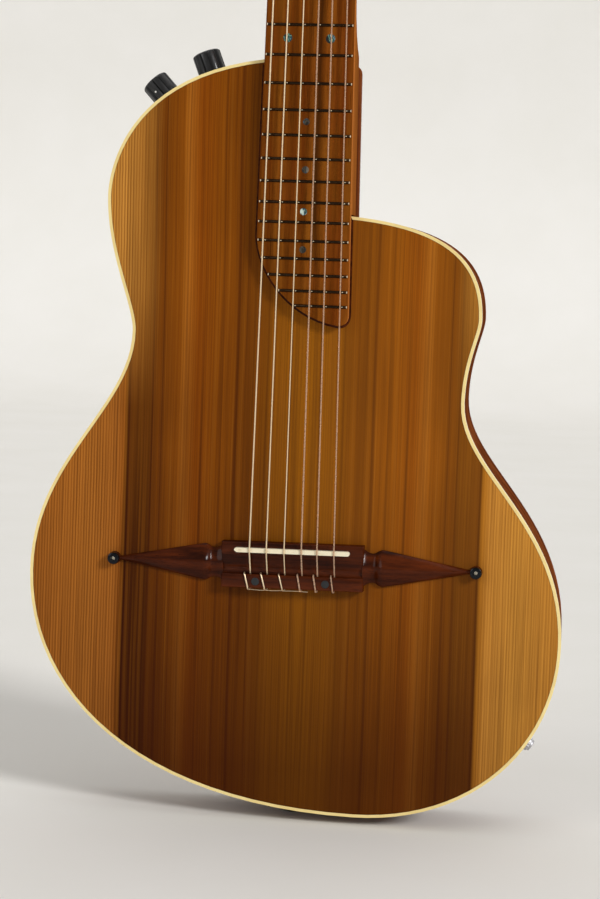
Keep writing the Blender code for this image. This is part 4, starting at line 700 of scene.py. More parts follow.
def makeBody():
    values = bodyShape
    front, back = guitar["topY"], guitar["backY"]
    edge = values["binding"]
    top = bodySlab(front, front + values["topThick"], edge + guitar["fine"])
    cutPocket(top, 0.0)
    finishPiece(top, "soundboard", "top", replaced=("top_plate",))

    strip = bodySlab(front, front + values["bindingDepth"])
    easeEdges(strip, lambda place: place.y < front + 0.1 * mm, values["bindingEdge"], 4)
    cutAway(strip, bodySlab(front - 2 * mm, front + values["bindingDepth"] + 2 * mm, edge))
    cutPocket(strip, 0.0)
    finishPiece(strip, "edgeBinding", "ivoroid", replaced=("top_binding",))

    rim = bodySlab(front + values["bindingDepth"] + guitar["fine"], back - values["backThick"] - guitar["fine"])
    cutAway(rim, bodySlab(front, back, values["sideThick"]))
    cutPocket(rim, guitar["shelfY"] + 0.3 * mm)
    finishPiece(rim, "bentSides", "rim", replaced=("side_bass", "side_treble"))

    plate = bodySlab(back - values["backThick"], back)
    easeEdges(plate, lambda place: place.y > back - 0.1 * mm, values["backEdge"], 4)
    for z in values["neckBolts"]:
        cutAway(plate, addRod(5.3 * mm, (0, back + mm, z), (0, back - 6 * mm, z), 40))
    x, z = values["hatch"][:2]
    halfX, halfZ = (side / 2 + 0.2 * mm for side in values["hatch"][2:])
    recess = addBlock((x - halfX, x + halfX), (back - 2.2 * mm, back + mm), (z - halfZ, z + halfZ))
    easeUprights(recess, values["hatchCorner"])
    cutAway(plate, recess)
    finishPiece(plate, "backPlate", "back", replaced=("back_plate",))
    print("body ready")


makeBody()


board = {
    "endZ": 329 * mm,
    "scoopZ": 386 * mm,          # where the carved end starts on the bass edge
    "scoopPull": (1.0 * mm, -19 * mm),
    "scoopLow": (-12 * mm, 334.5 * mm),
    "tip": (6.6 * mm, 7.5 * mm),  # the rounded corner on the treble side
    "edge": 0.8 * mm,
    "frets": 24,
    "fretHalf": 0.95 * mm,
    "fretRise": 1.0 * mm,
    "fretInset": 0.8 * mm,
    "fretGlint": 0.74 * mm,
    "stringGlint": (0.5 * mm, 1.35 * mm),   # painted highlight: the bright spot beside each string, from its middle
    "stringGlintRadius": 0.4 * mm,
    # painted shadow of the board on the top: its width, its shift to the bass side and its upper ends
    "shadowLineWidth": 1.7 * mm,
    "shadowLineShift": -0.4 * mm,
    "shadowLineTop": (493 * mm, 397.6 * mm),   # on the bass side, on the treble side
    # fret, x, radius and height above the middle of the space, in mm
    "dots": ((3, 0.0, 2.3, 0.0), (5, 0.0, 2.3, 0.0), (7, 0.0, 2.3, 0.0), (9, 0.0, 2.3, 0.0),
             (12, -14.4, 2.9, 1.1), (12, 13.6, 3.0, 0.9), (15, -0.4, 2.2, 0.6), (17, 0.0, 2.3, 0.3),
             (19, -0.2, 2.3, 0.5), (21, 0.0, 2.3, 0.1)),
    "dotProud": 0.03 * mm,
    "dimDots": (3, 7, 15, 17, 21),   # their shell is cut from a greyer part
}


def fretZ(number):
    return guitar["saddleZ"] + guitar["scale"] * 2.0 ** (-number / 12.0)


def boardEdge():  # knots of the carved end, from the bass edge to the treble edge
    values = board
    start = Vector((-halfBoard(values["scoopZ"]), values["scoopZ"]))
    end = Vector((halfBoard(values["endZ"]) - values["tip"][0], values["endZ"]))
    cornerZ = values["endZ"] + values["tip"][1]
    return [(*start, (0.0, 0.0), Vector(values["scoopPull"])),
            (*end, end - Vector(values["scoopLow"]), (values["tip"][0] * 0.6, 0.0)),
            (halfBoard(cornerZ), cornerZ, (0.0, values["tip"][1] * 0.66), (0.0, 0.0))]


def boardLeft(z):  # the board's bass edge at a height, also along its carved end
    first, second = boardEdge()[:2]
    if z > first[1]:
        return -halfBoard(z)
    start, end = Vector(first[:2]), Vector(second[:2])
    curve = interpolate_bezier(start, start + first[3], end - second[2], end, 60)
    return min(curve, key=lambda point: abs(point[1] - z))[0]


def makeBoard():
    values = board
    top, face, back = guitar["nutZ"] - 0.3 * mm, guitar["boardY"], guitar["topY"] - 0.2 * mm
    knots = boardEdge() + [corner(halfBoard(top), top), corner(-halfBoard(top), top)]
    plank = standUp(drawPath([knots], steps=16), face, back)
    easeEdges(plank, lambda place: place.y < face + 0.1 * mm and place.z < top - mm, values["edge"], 3)
    finishPiece(plank, "fingerboardSlab", "board", replaced=("fingerboard",))

    frets = []
    half, rise = values["fretHalf"], values["fretRise"]
    for number in range(1, values["frets"] + 1):
        z = fretZ(number)
        left = boardLeft(z + half) + values["fretInset"]
        right = halfBoard(z) - values["fretInset"]
        rings = []
        for x, height in ((left, 0.35), (left + 0.7 * mm, 1.0), (right - 0.7 * mm, 1.0), (right, 0.35)):
            arc = [math.pi * step / 8 for step in range(9)]
            rings.append([(x, face + 0.1 * mm - (rise + 0.1 * mm) * height * math.sin(angle),
                           z + half * math.cos(angle)) for angle in arc])
        frets.append(skinThrough(rings))
    finishPiece(joinPieces(frets), "fretWires", "fret", replaced=("frets",), smoothAngle=50)

    ends = []
    for number in range(1, values["frets"] + 1):  # painted highlights: bright glints on each wire's ends and beside each string
        z, inset = fretZ(number), values["fretInset"]
        left, right = boardLeft(z + half) + inset, halfBoard(z) - inset
        for low, high in ((left - 0.05 * mm, left + 0.55 * mm), (right - 0.55 * mm, right + 0.05 * mm)):
            ends.append(addRod(values["fretGlint"], (low, face - 0.35 * mm, z), (high, face - 0.35 * mm, z), 20))
        crown = face - values["fretRise"] + values["stringGlintRadius"] - 0.03 * mm
        for index in range(6):
            low, high = (stringX(index, z) + reach for reach in values["stringGlint"])
            if left + mm < low and high < right - mm:
                ends.append(addRod(values["stringGlintRadius"], (low, crown, z), (high, crown, z), 12))
    finishPiece(joinPieces(ends), "fretPaintedHighlights", "fretGlint", smoothAngle=50)

    shadowLineTop = values["shadowLineTop"]
    dark = boardEdge() + [corner(halfBoard(shadowLineTop[1]), shadowLineTop[1]), corner(-halfBoard(shadowLineTop[0]), shadowLineTop[0])]
    strip = standUp(drawPath([dark], steps=16, offset=values["shadowLineWidth"]), back, guitar["topY"] - 0.02 * mm)
    setPlace(strip, Matrix.Translation((values["shadowLineShift"], 0.0, 0.0)))
    finishPiece(strip, "boardShadowLine", "bridge")  # painted shadow: a dark strip on the top round the board's foot, shifted to the bass side

    for number, (fret, x, radius, up) in enumerate(values["dots"], start=1):
        z = (fretZ(fret - 1) + fretZ(fret)) / 2 + up * mm
        dot = addRod(radius * mm, (x * mm, face + 1.5 * mm, z), (x * mm, face - values["dotProud"], z), 40)
        finishPiece(dot, "inlayDot%02d" % number, "dimShell" if fret in values["dimDots"] else "abalone")
    print("fingerboard ready")


makeBoard()


neckShape = {
    # z, depth behind the soundboard's plane, squareness of the section (2 is an ellipse)
    "stations": ((402 * mm, 28.0 * mm, 40.0), (505 * mm, 28.0 * mm, 40.0), (506 * mm, 28.0 * mm, 34.0),
                 (511 * mm, 26.8 * mm, 9.0), (519 * mm, 22.8 * mm, 5.0), (530 * mm, 19.0 * mm, 3.2),
                 (550 * mm, 17.0 * mm, 2.5), (690 * mm, 16.0 * mm, 2.5), (833.5 * mm, 15.0 * mm, 2.5)),
    "between": 4,
}


def smoothShare(share):
    return share * share * (3.0 - 2.0 * share)


def makeNeck():
    stations = neckShape["stations"]
    steps = neckShape["between"]
    rings = []
    for first, second in zip(stations[:-1], stations[1:]):
        for step in range(steps):
            share = step / steps
            z, depth = (a + (b - a) * share for a, b in zip(first[:2], second[:2]))
            square = first[2] * (second[2] / first[2]) ** share
            rings.append((z, depth, square))
    rings.append(stations[-1])
    rings = rings[:1] + rings[steps:]
    sections = []
    for z, depth, square in rings:
        half = halfBoard(z)
        section = []
        for step in range(37):
            angle = math.pi * step / 36
            across = math.copysign(abs(math.cos(angle)) ** (2 / square), math.cos(angle))
            down = abs(math.sin(angle)) ** (2 / square) if 0 < step < 36 else 0.0
            section.append((half * across, guitar["topY"] + depth * down, z))
        sections.append(section)
    finishPiece(skinThrough(sections), "neckShaft", "neck", replaced=("neck",), smoothAngle=50)
    print("neck ready")


makeNeck()


bridge = {
    "width": 94.8 * mm,
    "up": 5.0 * mm,              # the block above and below the saddle line
    "down": 25.5 * mm,
    "height": 9.0 * mm,
    "edge": 0.9 * mm,
    "ramp": (3.5 * mm, 12.5 * mm),
    "tieFront": 16.4 * mm,
    "tieFloor": 4.6 * mm,
    "tieHole": 1.0 * mm,
    "tieHoleHeight": 6.0 * mm,
    # beyond the block's end: distance, width, height of the carved cove
    "cove": ((-0.8, 26.4, 6.4), (0.7, 23.4, 5.8), (2.2, 21.2, 5.3), (3.8, 19.8, 4.9), (5.4, 19.2, 4.8),
             (7.0, 19.6, 5.1), (8.3, 20.8, 5.9), (9.4, 22.6, 7.0)),
    "wingStart": 58.5 * mm,
    "wingEnd": 116.5 * mm,
    "wingRoot": (24.5 * mm, 8.5 * mm),   # width and height
    "wingTip": (2.8 * mm, 2.9 * mm),
    "wingDrop": 10.0 * mm,
    "boltX": 121.5 * mm,
    "boss": 4.2 * mm,
    "boltHead": 4.0 * mm,
    "turn": math.radians(-0.6),
    "saddleSize": (77 * mm, 3.0 * mm, 12.2 * mm),
    "plugs": ((-24.4 * mm, "bass"), (22.4 * mm, "treble")),
    "plugDrop": 21.2 * mm,
    "plugRadius": 2.6 * mm,
}
bridgeTurn = (Matrix.Translation((0.0, 0.0, guitar["saddleZ"])) @ Matrix.Rotation(bridge["turn"], 4, "Y")
              @ Matrix.Translation((0.0, 0.0, -guitar["saddleZ"])))


def wingSection(x, width, height):  # a ridge with softly hollowed flanks
    middle, base = guitar["saddleZ"] - bridge["wingDrop"], guitar["topY"] - 0.2 * mm
    shape = ((-0.50, 0.0), (-0.50, 0.22), (-0.46, 0.34), (-0.38, 0.50), (-0.28, 0.68), (-0.18, 0.84), (-0.09, 0.96),
             (0.0, 1.0))
    shape += tuple((-share, rise) for share, rise in reversed(shape[:-1]))
    return [(x, base - height * rise, middle + width * share) for share, rise in shape]


def roundBar(length, width, frontY, backY):
    radius = width / 2
    reach = length / 2 - radius
    bend = radius * 0.5523
    z = guitar["saddleZ"]
    ends = ((-reach, z - radius, (-bend, 0), (reach, 0)), (reach, z - radius, (reach, 0), (bend, 0)),
            (reach + radius, z, (0, bend), (0, bend)), (reach, z + radius, (-bend, 0), (-reach, 0)),
            (-reach, z + radius, (-reach, 0), (-bend, 0)), (-reach - radius, z, (0, -bend), (0, -bend)))
    return standUp(drawPath([ends], steps=8), frontY, backY)


def makeBridge():
    values = bridge
    saddleZ, topY = guitar["saddleZ"], guitar["topY"]
    half = values["width"] / 2
    base = topY - 0.2 * mm
    block = addBlock((-half, half), (topY - values["height"], base), (saddleZ - values["down"], saddleZ + values["up"]))
    low, high = values["ramp"][1], values["ramp"][0]
    front, floor = topY - values["height"] - mm, topY - values["tieFloor"]
    trough = [[(x, front, saddleZ - high + 0.7 * mm), (x, topY - values["height"], saddleZ - high),
               (x, floor, saddleZ - low), (x, floor, saddleZ - values["tieFront"]),
               (x, front, saddleZ - values["tieFront"])] for x in (-half - mm, half + mm)]
    cutAway(block, skinThrough(trough))
    easeEdges(block, lambda place: place.y < base - 0.1 * mm, values["edge"], 3, 25.0)
    for side in (-1, 1):
        rings = [(half + beyond * mm, width * mm, height * mm) for beyond, width, height in values["cove"]]
        rings.append((values["wingStart"] + 0.6 * mm, values["wingRoot"][0], values["wingRoot"][1] * 0.96))
        rings.append((values["wingStart"] + 2.0 * mm, values["wingRoot"][0] * 0.99, values["wingRoot"][1]))
        for step in range(1, 9):
            share = step / 8
            width, height = (root + (tip - root) * share
                             for root, tip in zip(values["wingRoot"], values["wingTip"]))
            x = values["wingStart"] + 2.0 * mm + (values["wingEnd"] - values["wingStart"] - 2.0 * mm) * share
            rings.append((x, width, height))
        rings.append((values["boltX"] - 2.0 * mm, *values["wingTip"]))
        cutAway(block, skinThrough([wingSection(side * x, width, height) for x, width, height in rings]), "UNION")
        boltZ = saddleZ - values["wingDrop"]
        bossY = base - values["wingTip"][1]
        boss = addRod(values["boss"], (side * values["boltX"], base, boltZ), (side * values["boltX"], bossY, boltZ), 48)
        easeEdges(boss, lambda place: place.y < base - mm, 0.7 * mm, 3)
        cutAway(block, boss, "UNION")
    cutAway(block, roundBar(values["saddleSize"][0] + 0.2 * mm, values["saddleSize"][1] + 0.2 * mm,
                            topY - 2 * values["height"], topY - 3.4 * mm))
    for index in range(6):
        x = stringX(index, saddleZ)
        height = topY - values["tieHoleHeight"]
        cutAway(block, addRod(values["tieHole"], (x, height, saddleZ - values["tieFront"] + 2 * mm),
                              (x, height, saddleZ - values["down"] - 2 * mm), 20))
    for x, name in values["plugs"]:
        z = saddleZ - values["plugDrop"]
        cutAway(block, addRod(values["plugRadius"] + 0.1 * mm, (x, topY - 12 * mm, z), (x, topY - 7.8 * mm, z), 32))
        plug = addRod(values["plugRadius"], (x, topY - values["height"] - 0.05 * mm, z), (x, topY - 7.9 * mm, z), 32)
        easeEdges(plug, lambda place: place.y < topY - 8.5 * mm, 0.25 * mm, 2)
        setPlace(plug, bridgeTurn)
        finishPiece(plug, "dowelPlug." + name, "plug", replaced=("plug_" + name,))
    setPlace(block, bridgeTurn)
    finishPiece(block, "carvedBridge", "bridge", replaced=("bridge",), smoothAngle=28)

    length, width, height = values["saddleSize"]
    bar = roundBar(length, width, topY - height + 0.3 * mm, topY - 3.5 * mm)
    easeEdges(bar, lambda place: place.y < topY - 8 * mm, 1.1 * mm, 4)
    setPlace(bar, bridgeTurn)
    finishPiece(bar, "boneSaddle", "bone", replaced=("saddle",))

    for side, name in ((-1, "bass"), (1, "treble")):
        place = bridgeTurn @ Matrix.Translation((side * values["boltX"], topY - 3.35 * mm, saddleZ - values["wingDrop"]))
        place = place @ Matrix.Rotation(math.pi / 2, 4, "X")
        head = values["boltHead"]
        profile = ((1.9 * mm, -12 * mm), (1.9 * mm, 0.0), (head, 0.0), (head, 2.4 * mm), (head - 0.25 * mm, 3.0 * mm),
                   (head - 0.8 * mm, 3.3 * mm), (head - 1.6 * mm, 3.4 * mm))
        bolt = turnPiece(profile, Matrix.Identity(4))
        cutAway(bolt, addRod(1.5 * mm, (0, 0, 1.2 * mm), (0, 0, 6 * mm), 6))
        setPlace(bolt, place)
        finishPiece(bolt, "socketBolt." + name, "blackPlate", replaced=("bridge_bolt_" + name,))
        floor = addRod(1.2 * mm, (0, 0, 1.0 * mm), (0, 0, 1.35 * mm), 24)  # painted highlight: a bright nickel disc at the foot of the socket
        setPlace(floor, place)
        finishPiece(floor, "socketHighlight." + name, "nickel")
    print("bridge ready")


makeBridge()


head = {
    "tilt": math.radians(-14.0),
    "width": 72 * mm,
    "length": 175 * mm,
    "thick": 19 * mm,
    "veneer": 1.8 * mm,
    "root": 6 * mm,              # straight sides above the nut
    "flare": 20 * mm,
    "crown": 22 * mm,
    "foot": 8 * mm,
    "slot": (10 * mm, 14 * mm, 27 * mm, 143 * mm),  # inner x, width, start and end
    "posts": (53 * mm, 88 * mm, 123 * mm),
    "axleDepth": 9 * mm,
    "bore": 3.3 * mm,
    "edge": 0.9 * mm,
    "backEdge": 2.0 * mm,
    "nutThick": 6 * mm,
    "nutCrest": -42.1 * mm,
    "nutY": -41.5 * mm,          # the strings' undersides in the nut
}
headLow = guitar["nutZ"] + head["nutThick"] + 0.3 * mm
headTurn = (Matrix.Translation((0.0, guitar["boardY"] + 3 * mm, headLow)) @ Matrix.Rotation(head["tilt"], 4, "X"))


def headPlate(front, back):
    values = head
    half, root = values["width"] / 2, halfBoard(guitar["nutZ"])
    low, flare, shoulder = values["root"], values["root"] + values["flare"], values["length"] - values["crown"]
    rise = values["flare"] * 0.4
    fall = values["flare"] * 0.8
    right = [corner(root, -values["foot"]), (root, low, (0, 0), (0, rise)), (half, flare, (0, fall), (0, 0)),
             (half, shoulder, (0, 0), (-6 * mm, 11 * mm))]
    left = [(-x, z, (after[0], -after[1]), (before[0], -before[1])) for x, z, before, after in reversed(right)]
    outline = right + [(0.0, values["length"], (-20 * mm, 0), (-20 * mm, 0))] + left
    inner, width, start, end = values["slot"]
    radius = width / 2
    bend = radius * 0.5523
    loops = [outline]
    for side in (-1, 1):
        middle = side * (inner + radius)
        loops.append([(middle + radius, start + radius, (0, bend), (0, 0)),
                      (middle + radius, end - radius, (0, 0), (0, bend)), (middle, end, (-bend, 0), (-bend, 0)),
                      (middle - radius, end - radius, (0, -bend), (0, 0)),
                      (middle - radius, start + radius, (0, 0), (0, -bend)), (middle, start, (bend, 0), (bend, 0))])
    return standUp(drawPath(loops, steps=14), front, back)


def cutFoot(plate):  # square to the neck, just above the nut
    cutAway(plate, addBlock((-60 * mm, 60 * mm), (-80 * mm, 20 * mm), (headLow - 60 * mm, headLow)))


def makeHead():
    values = head
    veneer = headPlate(0.0, values["veneer"])
    easeEdges(veneer, lambda place: place.y < 0.1 * mm, values["edge"], 3)
    setPlace(veneer, headTurn)
    cutFoot(veneer)
    finishPiece(veneer, "headVeneer", "veneer", replaced=("head_veneer",))
    front = values["veneer"] + 0.1 * mm
    back = front + values["thick"] + 0.2 * mm
    core = headPlate(front, back)
    easeEdges(core, lambda place: place.y > back - 0.1 * mm, values["backEdge"], 4)
    for side in (-1, 1):
        for post in values["posts"]:
            cutAway(core, addRod(values["bore"], (side * 40 * mm, values["axleDepth"], post),
                                 (side * 5.7 * mm, values["axleDepth"], post), 24))
    setPlace(core, headTurn)
    cutFoot(core)
    finishPiece(core, "slottedHead", "neck", replaced=("headstock",))

    half = halfBoard(guitar["nutZ"]) - 0.3 * mm
    low, high = guitar["nutZ"], guitar["nutZ"] + values["nutThick"]
    nut = addBlock((-half, half), (values["nutCrest"], guitar["topY"] - 0.3 * mm), (low, high))
    easeEdges(nut, lambda place: place.y < values["nutCrest"] + 0.1 * mm, 0.9 * mm, 4)
    for index, radius in enumerate(stringWires["radii"]):
        x, y, room = stringX(index, low), values["nutY"] - radius, radius + 0.2 * mm
        cutAway(nut, addRod(room, (x, y, low - mm), (x, y, high + mm), 20))
        cutAway(nut, addBlock((x - room, x + room), (values["nutCrest"] - mm, y), (low - mm, high + mm)))
    finishPiece(nut, "boneNut", "bone", replaced=("nut",))
    print("head ready")


stringWires = {
    "radii": (0.55 * mm, 0.50 * mm, 0.43 * mm, 0.52 * mm, 0.50 * mm, 0.45 * mm),
    "slants": (-4.0 * mm, -4.2 * mm, -4.1 * mm, -3.0 * mm, -2.7 * mm, -2.3 * mm),  # of the loops over the tie block
    "turnSteps": 16,
    "turns": 2.25,
    "turnLead": 0.25,
    "turnStart": (20.2 * mm, 17.0 * mm, 17.0 * mm),
    "turnGap": 0.6 * mm,
    "roller": 5.0 * mm,
    "tailRadius": 0.2 * mm,
}


def stringRoute(index):
    values = stringWires
    radius = values["radii"][index]
    low, topY, down = guitar["saddleZ"], guitar["topY"], bridge["down"]
    over = bridge["height"] + 0.2 * mm + radius
    hole, front = bridge["tieHoleHeight"], bridge["tieFront"]
    saddleAt = bridge["saddleSize"][2] + radius
    behind = -down - radius - 0.4 * mm
    lean = values["slants"][index]
    route = ((lean, hole, -front + 0.7 * mm), (lean * 0.92, over - 0.9 * mm, -front + 0.6 * mm),
             (lean * 0.88, over - 0.2 * mm, -front + 0.1 * mm), (lean * 0.80, over, -front - 0.7 * mm),
             (lean * 0.32, over, 0.9 * mm - down), (lean * 0.30, over - 0.3 * mm, -down - 0.1 * mm),
             (lean * 0.26, over - 1.0 * mm, behind), (lean * 0.10, hole + 0.8 * mm, behind - 0.3 * mm),
             (0.0, hole + 0.1 * mm, -down - 0.5 * mm), (0.0, hole, -front + 0.6 * mm),
             (0.0, saddleAt - 0.6 * mm, -2.4 * mm), (0.0, saddleAt - 0.1 * mm, -0.7 * mm), (0.0, saddleAt, 0.0))
    points = [bridgeTurn @ Vector((stringX(index, low) + dx, topY - height, low + z)) for dx, height, z in route]
    topX, nutY = stringX(index, guitar["nutZ"]), head["nutY"] - radius
    points += [Vector((topX, nutY, guitar["nutZ"])), Vector((topX, nutY, guitar["nutZ"] + head["nutThick"]))]
    side = -1 if index < 3 else 1
    order = (0, 1, 2, 2, 1, 0)[index]
    inward = -1 if order == 0 else 1
    steps = values["turnSteps"]
    reach = values["roller"] + 0.2 * mm + radius
    for step in range(int(steps * values["turns"]) + 1):
        turn = step / steps
        angle = 2 * math.pi * turn - values["turnLead"]
        x = side * (values["turnStart"][order] + inward * (2 * radius + values["turnGap"]) * turn)
        points.append(headTurn @ Vector((x, head["axleDepth"] - reach * math.cos(angle),
                                         head["posts"][order] + reach * math.sin(angle))))
    return points


def makeStrings():
    values = stringWires
    for index, name in enumerate(stringNames):
        wire = drawWire(stringRoute(index), values["radii"][index], sides=3, smooth=False, steps=1)
        look = "woundString" if index < 3 else "nylonString"
        finishPiece(wire, "playingString." + name, look, replaced=("string_" + name,), smoothAngle=60)
    tails = []
    topY, low = guitar["topY"], guitar["saddleZ"] - bridge["down"]
    for index in range(3):
        start, end = stringX(index, guitar["saddleZ"]) - 1.2 * mm, stringX(index + 1, guitar["saddleZ"]) + 1.0 * mm
        end += 3.5 * mm if index == 2 else 0.0
        points = []
        for step in range(9):
            share = step / 8
            points.append(bridgeTurn @ Vector((start + (end - start) * share,
                                               topY - 8.2 * mm + 0.25 * mm * math.sin(share * 7 + index),
                                               low - 1.2 * mm + 0.16 * mm * math.cos(share * 5 + 2 * index))))
        tails.append(drawWire(points, values["tailRadius"], sides=2))
    finishPiece(joinPieces(tails), "stringTails", "woundString", smoothAngle=60)
    print("strings ready")


makeHead()
makeStrings()


tuners = {
    "plateThick": 1.2 * mm,
    "plateWidth": 16.2 * mm,
    "plateOffset": 0.5 * mm,
    "plateBelow": 11 * mm,
    "plateAbove": 16 * mm,
    "axle": 3.0 * mm,
    "teeth": 12,
    "tip": 5.9 * mm,
    "rootRadius": 4.75 * mm,
    "wheelThick": 2.0 * mm,
    "wormX": 40.6 * mm,
    "centres": 7.85 * mm,        # between the wheel's axis and the worm's
    "pitch": 3.0 * mm,
    "tabs": ((2.0 * mm, 3.8 * mm), (14.6 * mm, 16.4 * mm)),
    "tabHalf": 2.7 * mm,
    "button": ((2.4, 6.4), (2.4, 12.2), (3.2, 12.5), (4.0, 13.4), (4.9, 14.8), (5.9, 16.8), (6.6, 19.0),
               (6.8, 21.0), (6.7, 23.0), (6.4, 25.2), (6.1, 27.0), (5.8, 28.1), (5.2, 28.6), (4.2, 28.8)),
}


def makePlate(name, side):
    values = tuners
    inner = head["width"] / 2 + 0.2 * mm
    outer = inner + values["plateThick"]
    middle, half = head["axleDepth"] + values["plateOffset"], values["plateWidth"] / 2
    low, high = head["posts"][0] - values["plateBelow"], head["posts"][-1] + values["plateAbove"]
    plate = addBlock((side * inner, side * outer), (middle - half, middle + half), (low, high))
    easeEdges(plate, lambda place: abs(place.x) > outer - 0.1 * mm, 0.35 * mm, 2)
    for post in head["posts"]:
        wormZ = post + values["centres"]
        for near, far in values["tabs"]:
            tab = addBlock((side * (outer - 0.4 * mm), side * (outer + 5.2 * mm)), (near, far),
                           (wormZ - values["tabHalf"], wormZ + values["tabHalf"]))
            easeEdges(tab, lambda place: abs(place.x) > outer + 5.0 * mm, 1.2 * mm, 4)
            cutAway(tab, addRod(1.5 * mm, (side * values["wormX"], near - mm, wormZ),
                                (side * values["wormX"], far + mm, wormZ), 20))
            cutAway(plate, tab, "UNION")
        cutAway(plate, addRod(values["axle"] + 0.3 * mm, (side * (inner - mm), head["axleDepth"], post),
                              (side * (outer + mm), head["axleDepth"], post), 24))
    setPlace(plate, headTurn)
    finishPiece(plate, "tunerPlate." + name, "gold", replaced=("tuner_plate_" + name,))
    screwPlaces = [low + 3.2 * mm, high - 3.2 * mm]
    screwPlaces += [(first + second) / 2 - 3 * mm for first, second in zip(head["posts"], head["posts"][1:])]
    for number, z in enumerate(screwPlaces, start=1):
        profile = ((0.9 * mm, -3 * mm), (1.7 * mm, -0.1 * mm), (1.7 * mm, 0.1 * mm), (1.3 * mm, 0.45 * mm),
                   (0.7 * mm, 0.65 * mm))
        screw = turnPiece(profile, Matrix.Identity(4), 24)
        cutAway(screw, addBlock((-3 * mm, 3 * mm), (-0.22 * mm, 0.22 * mm), (0.35 * mm, 2 * mm)))
        place = Matrix.Translation((side * outer, middle, z)) @ Matrix.Rotation(side * math.pi / 2, 4, "Y")
        setPlace(screw, headTurn @ place @ Matrix.Rotation(0.7 * number, 4, "Z"))
        finishPiece(screw, "plateScrew." + name + str(number), "gold")


def makeRoller(name, side, post):
    values = tuners
    outer = head["width"] / 2 + 0.6 * mm + values["plateThick"]
    slotIn, slotOut = head["slot"][0] + 0.5 * mm, head["slot"][0] + head["slot"][1] - 0.5 * mm
    axle, drum, wormX = values["axle"], stringWires["roller"], values["wormX"]
    place = headTurn @ Matrix.Translation((0.0, head["axleDepth"], post)) @ Matrix.Rotation(side * math.pi / 2, 4, "Y")
    profile = ((drum - 0.5 * mm, slotIn), (drum, slotIn + 0.5 * mm), (drum, slotOut - 0.5 * mm),
               (drum - 0.5 * mm, slotOut))
    sleeve = turnPiece(profile, place)
    finishPiece(sleeve, "rollerSleeve." + name, "ivory", "roller_" + name, ("roller_" + name,))
    profile = ((axle - 0.5 * mm, 6.0 * mm), (axle, 6.5 * mm), (axle, outer), (axle + mm, outer), (axle + mm, wormX),
               (axle, wormX), (axle, wormX + 1.6 * mm), (axle - 0.5 * mm, wormX + 2.0 * mm))
    rod = turnPiece(profile, Matrix.Identity(4))
    cutAway(rod, addBlock((-4 * mm, 4 * mm), (-0.35 * mm, 0.35 * mm), (wormX + 1.4 * mm, wormX + 4 * mm)))
    ring = []
    step = 2 * math.pi / values["teeth"]
    for tooth in range(values["teeth"]):
        middle = tooth * step
        for radius, turn in ((values["rootRadius"], -0.30), (values["tip"], -0.12), (values["tip"], 0.12),
                             (values["rootRadius"], 0.30)):
            angle = middle + turn * step
            ring.append((radius * math.cos(angle), radius * math.sin(angle)))
    half = values["wheelThick"] / 2
    wheel = skinThrough([[(x, y, z) for x, y in ring] for z in (wormX - half, wormX + half)])
    spun = joinPieces([rod, wheel])
    setPlace(spun, place)
    finishPiece(spun, "wormWheel." + name, "gold", "roller_" + name)


def makeWorm(name, side, post):
    values = tuners
    depth = head["axleDepth"]
    frontTab, backTab = values["tabs"]
    front, back = frontTab[0] - depth, backTab[1] - depth
    core, shaft = 1.6 * mm, 1.2 * mm
    upright = Matrix.Rotation(-math.pi / 2, 4, "X")
    place = headTurn @ Matrix.Translation((side * values["wormX"], depth, post + values["centres"]))
    profile = ((shaft - 0.2 * mm, front - 0.2 * mm), (shaft, front), (shaft, frontTab[1] - depth + 0.3 * mm),
               (core, frontTab[1] - depth + 0.3 * mm), (core, backTab[0] - depth - 0.3 * mm),
               (shaft, backTab[0] - depth - 0.3 * mm), (shaft, back + 0.3 * mm), (2.4 * mm, back + 0.3 * mm),
               (2.4 * mm, back + mm), (1.9 * mm, back + 1.4 * mm), (1.9 * mm, back + 4 * mm), (2.5 * mm, back + 5 * mm),
               (2.5 * mm, back + 6.2 * mm))
    shank = turnPiece(profile, upright, 32)
    points = []
    for step in range(61):
        angle = (step / 60 - 0.5) * 2 * math.pi * 2.1
        points.append((2.2 * mm * math.sin(angle), values["pitch"] * angle / (2 * math.pi), 2.2 * mm * math.cos(angle)))
    thread = drawWire(points, 0.55 * mm, sides=2, smooth=False, steps=1)
    worm = joinPieces([shank, thread])
    setPlace(worm, place)
    finishPiece(worm, "wormShaft." + name, "gold", "tuner_" + name)
    scale = back - 7.4 * mm
    profile = [(radius * mm, scale + height * mm) for radius, height in values["button"]]
    button = turnPiece([pair for pair in profile if pair[1] > back + 4.5 * mm], place @ upright, 56)
    finishPiece(button, "tunerButton." + name, "pearl", "tuner_" + name, ("tuner_" + name,), 60)


for side, label, strings in ((-1, "bass", ("e", "a", "d")), (1, "treble", ("e_high", "b", "g"))):
    makePlate(label, side)
    for post, string in zip(head["posts"], strings):
        makeRoller(string, side, post)
        makeWorm(string, side, post)
print("tuners ready")


knobs = {
    # foot of the axis on the side, and the way out of the body
    "axes": (((-98.051 * mm, 0.0, 475.575 * mm), (-0.676909, 0.0, 0.736067)),
             ((-68.734 * mm, 0.0, 491.358 * mm), (-0.361137, 0.0, 0.932513))),
    "radius": 9.5 * mm,
    "height": 14.2 * mm,
    "start": 3.2 * mm,           # clear of the nut below the knob
    "flutes": 10,
    "fluteDepth": 1.1 * mm,
    "turned": (0.024, 0.32),      # radians about the axis, so that the highlights fall as they do on the real pair
    "dot": 0.75 * mm,
    "dotTurn": -0.35,
    "dotHeight": 6.4 * mm,
}


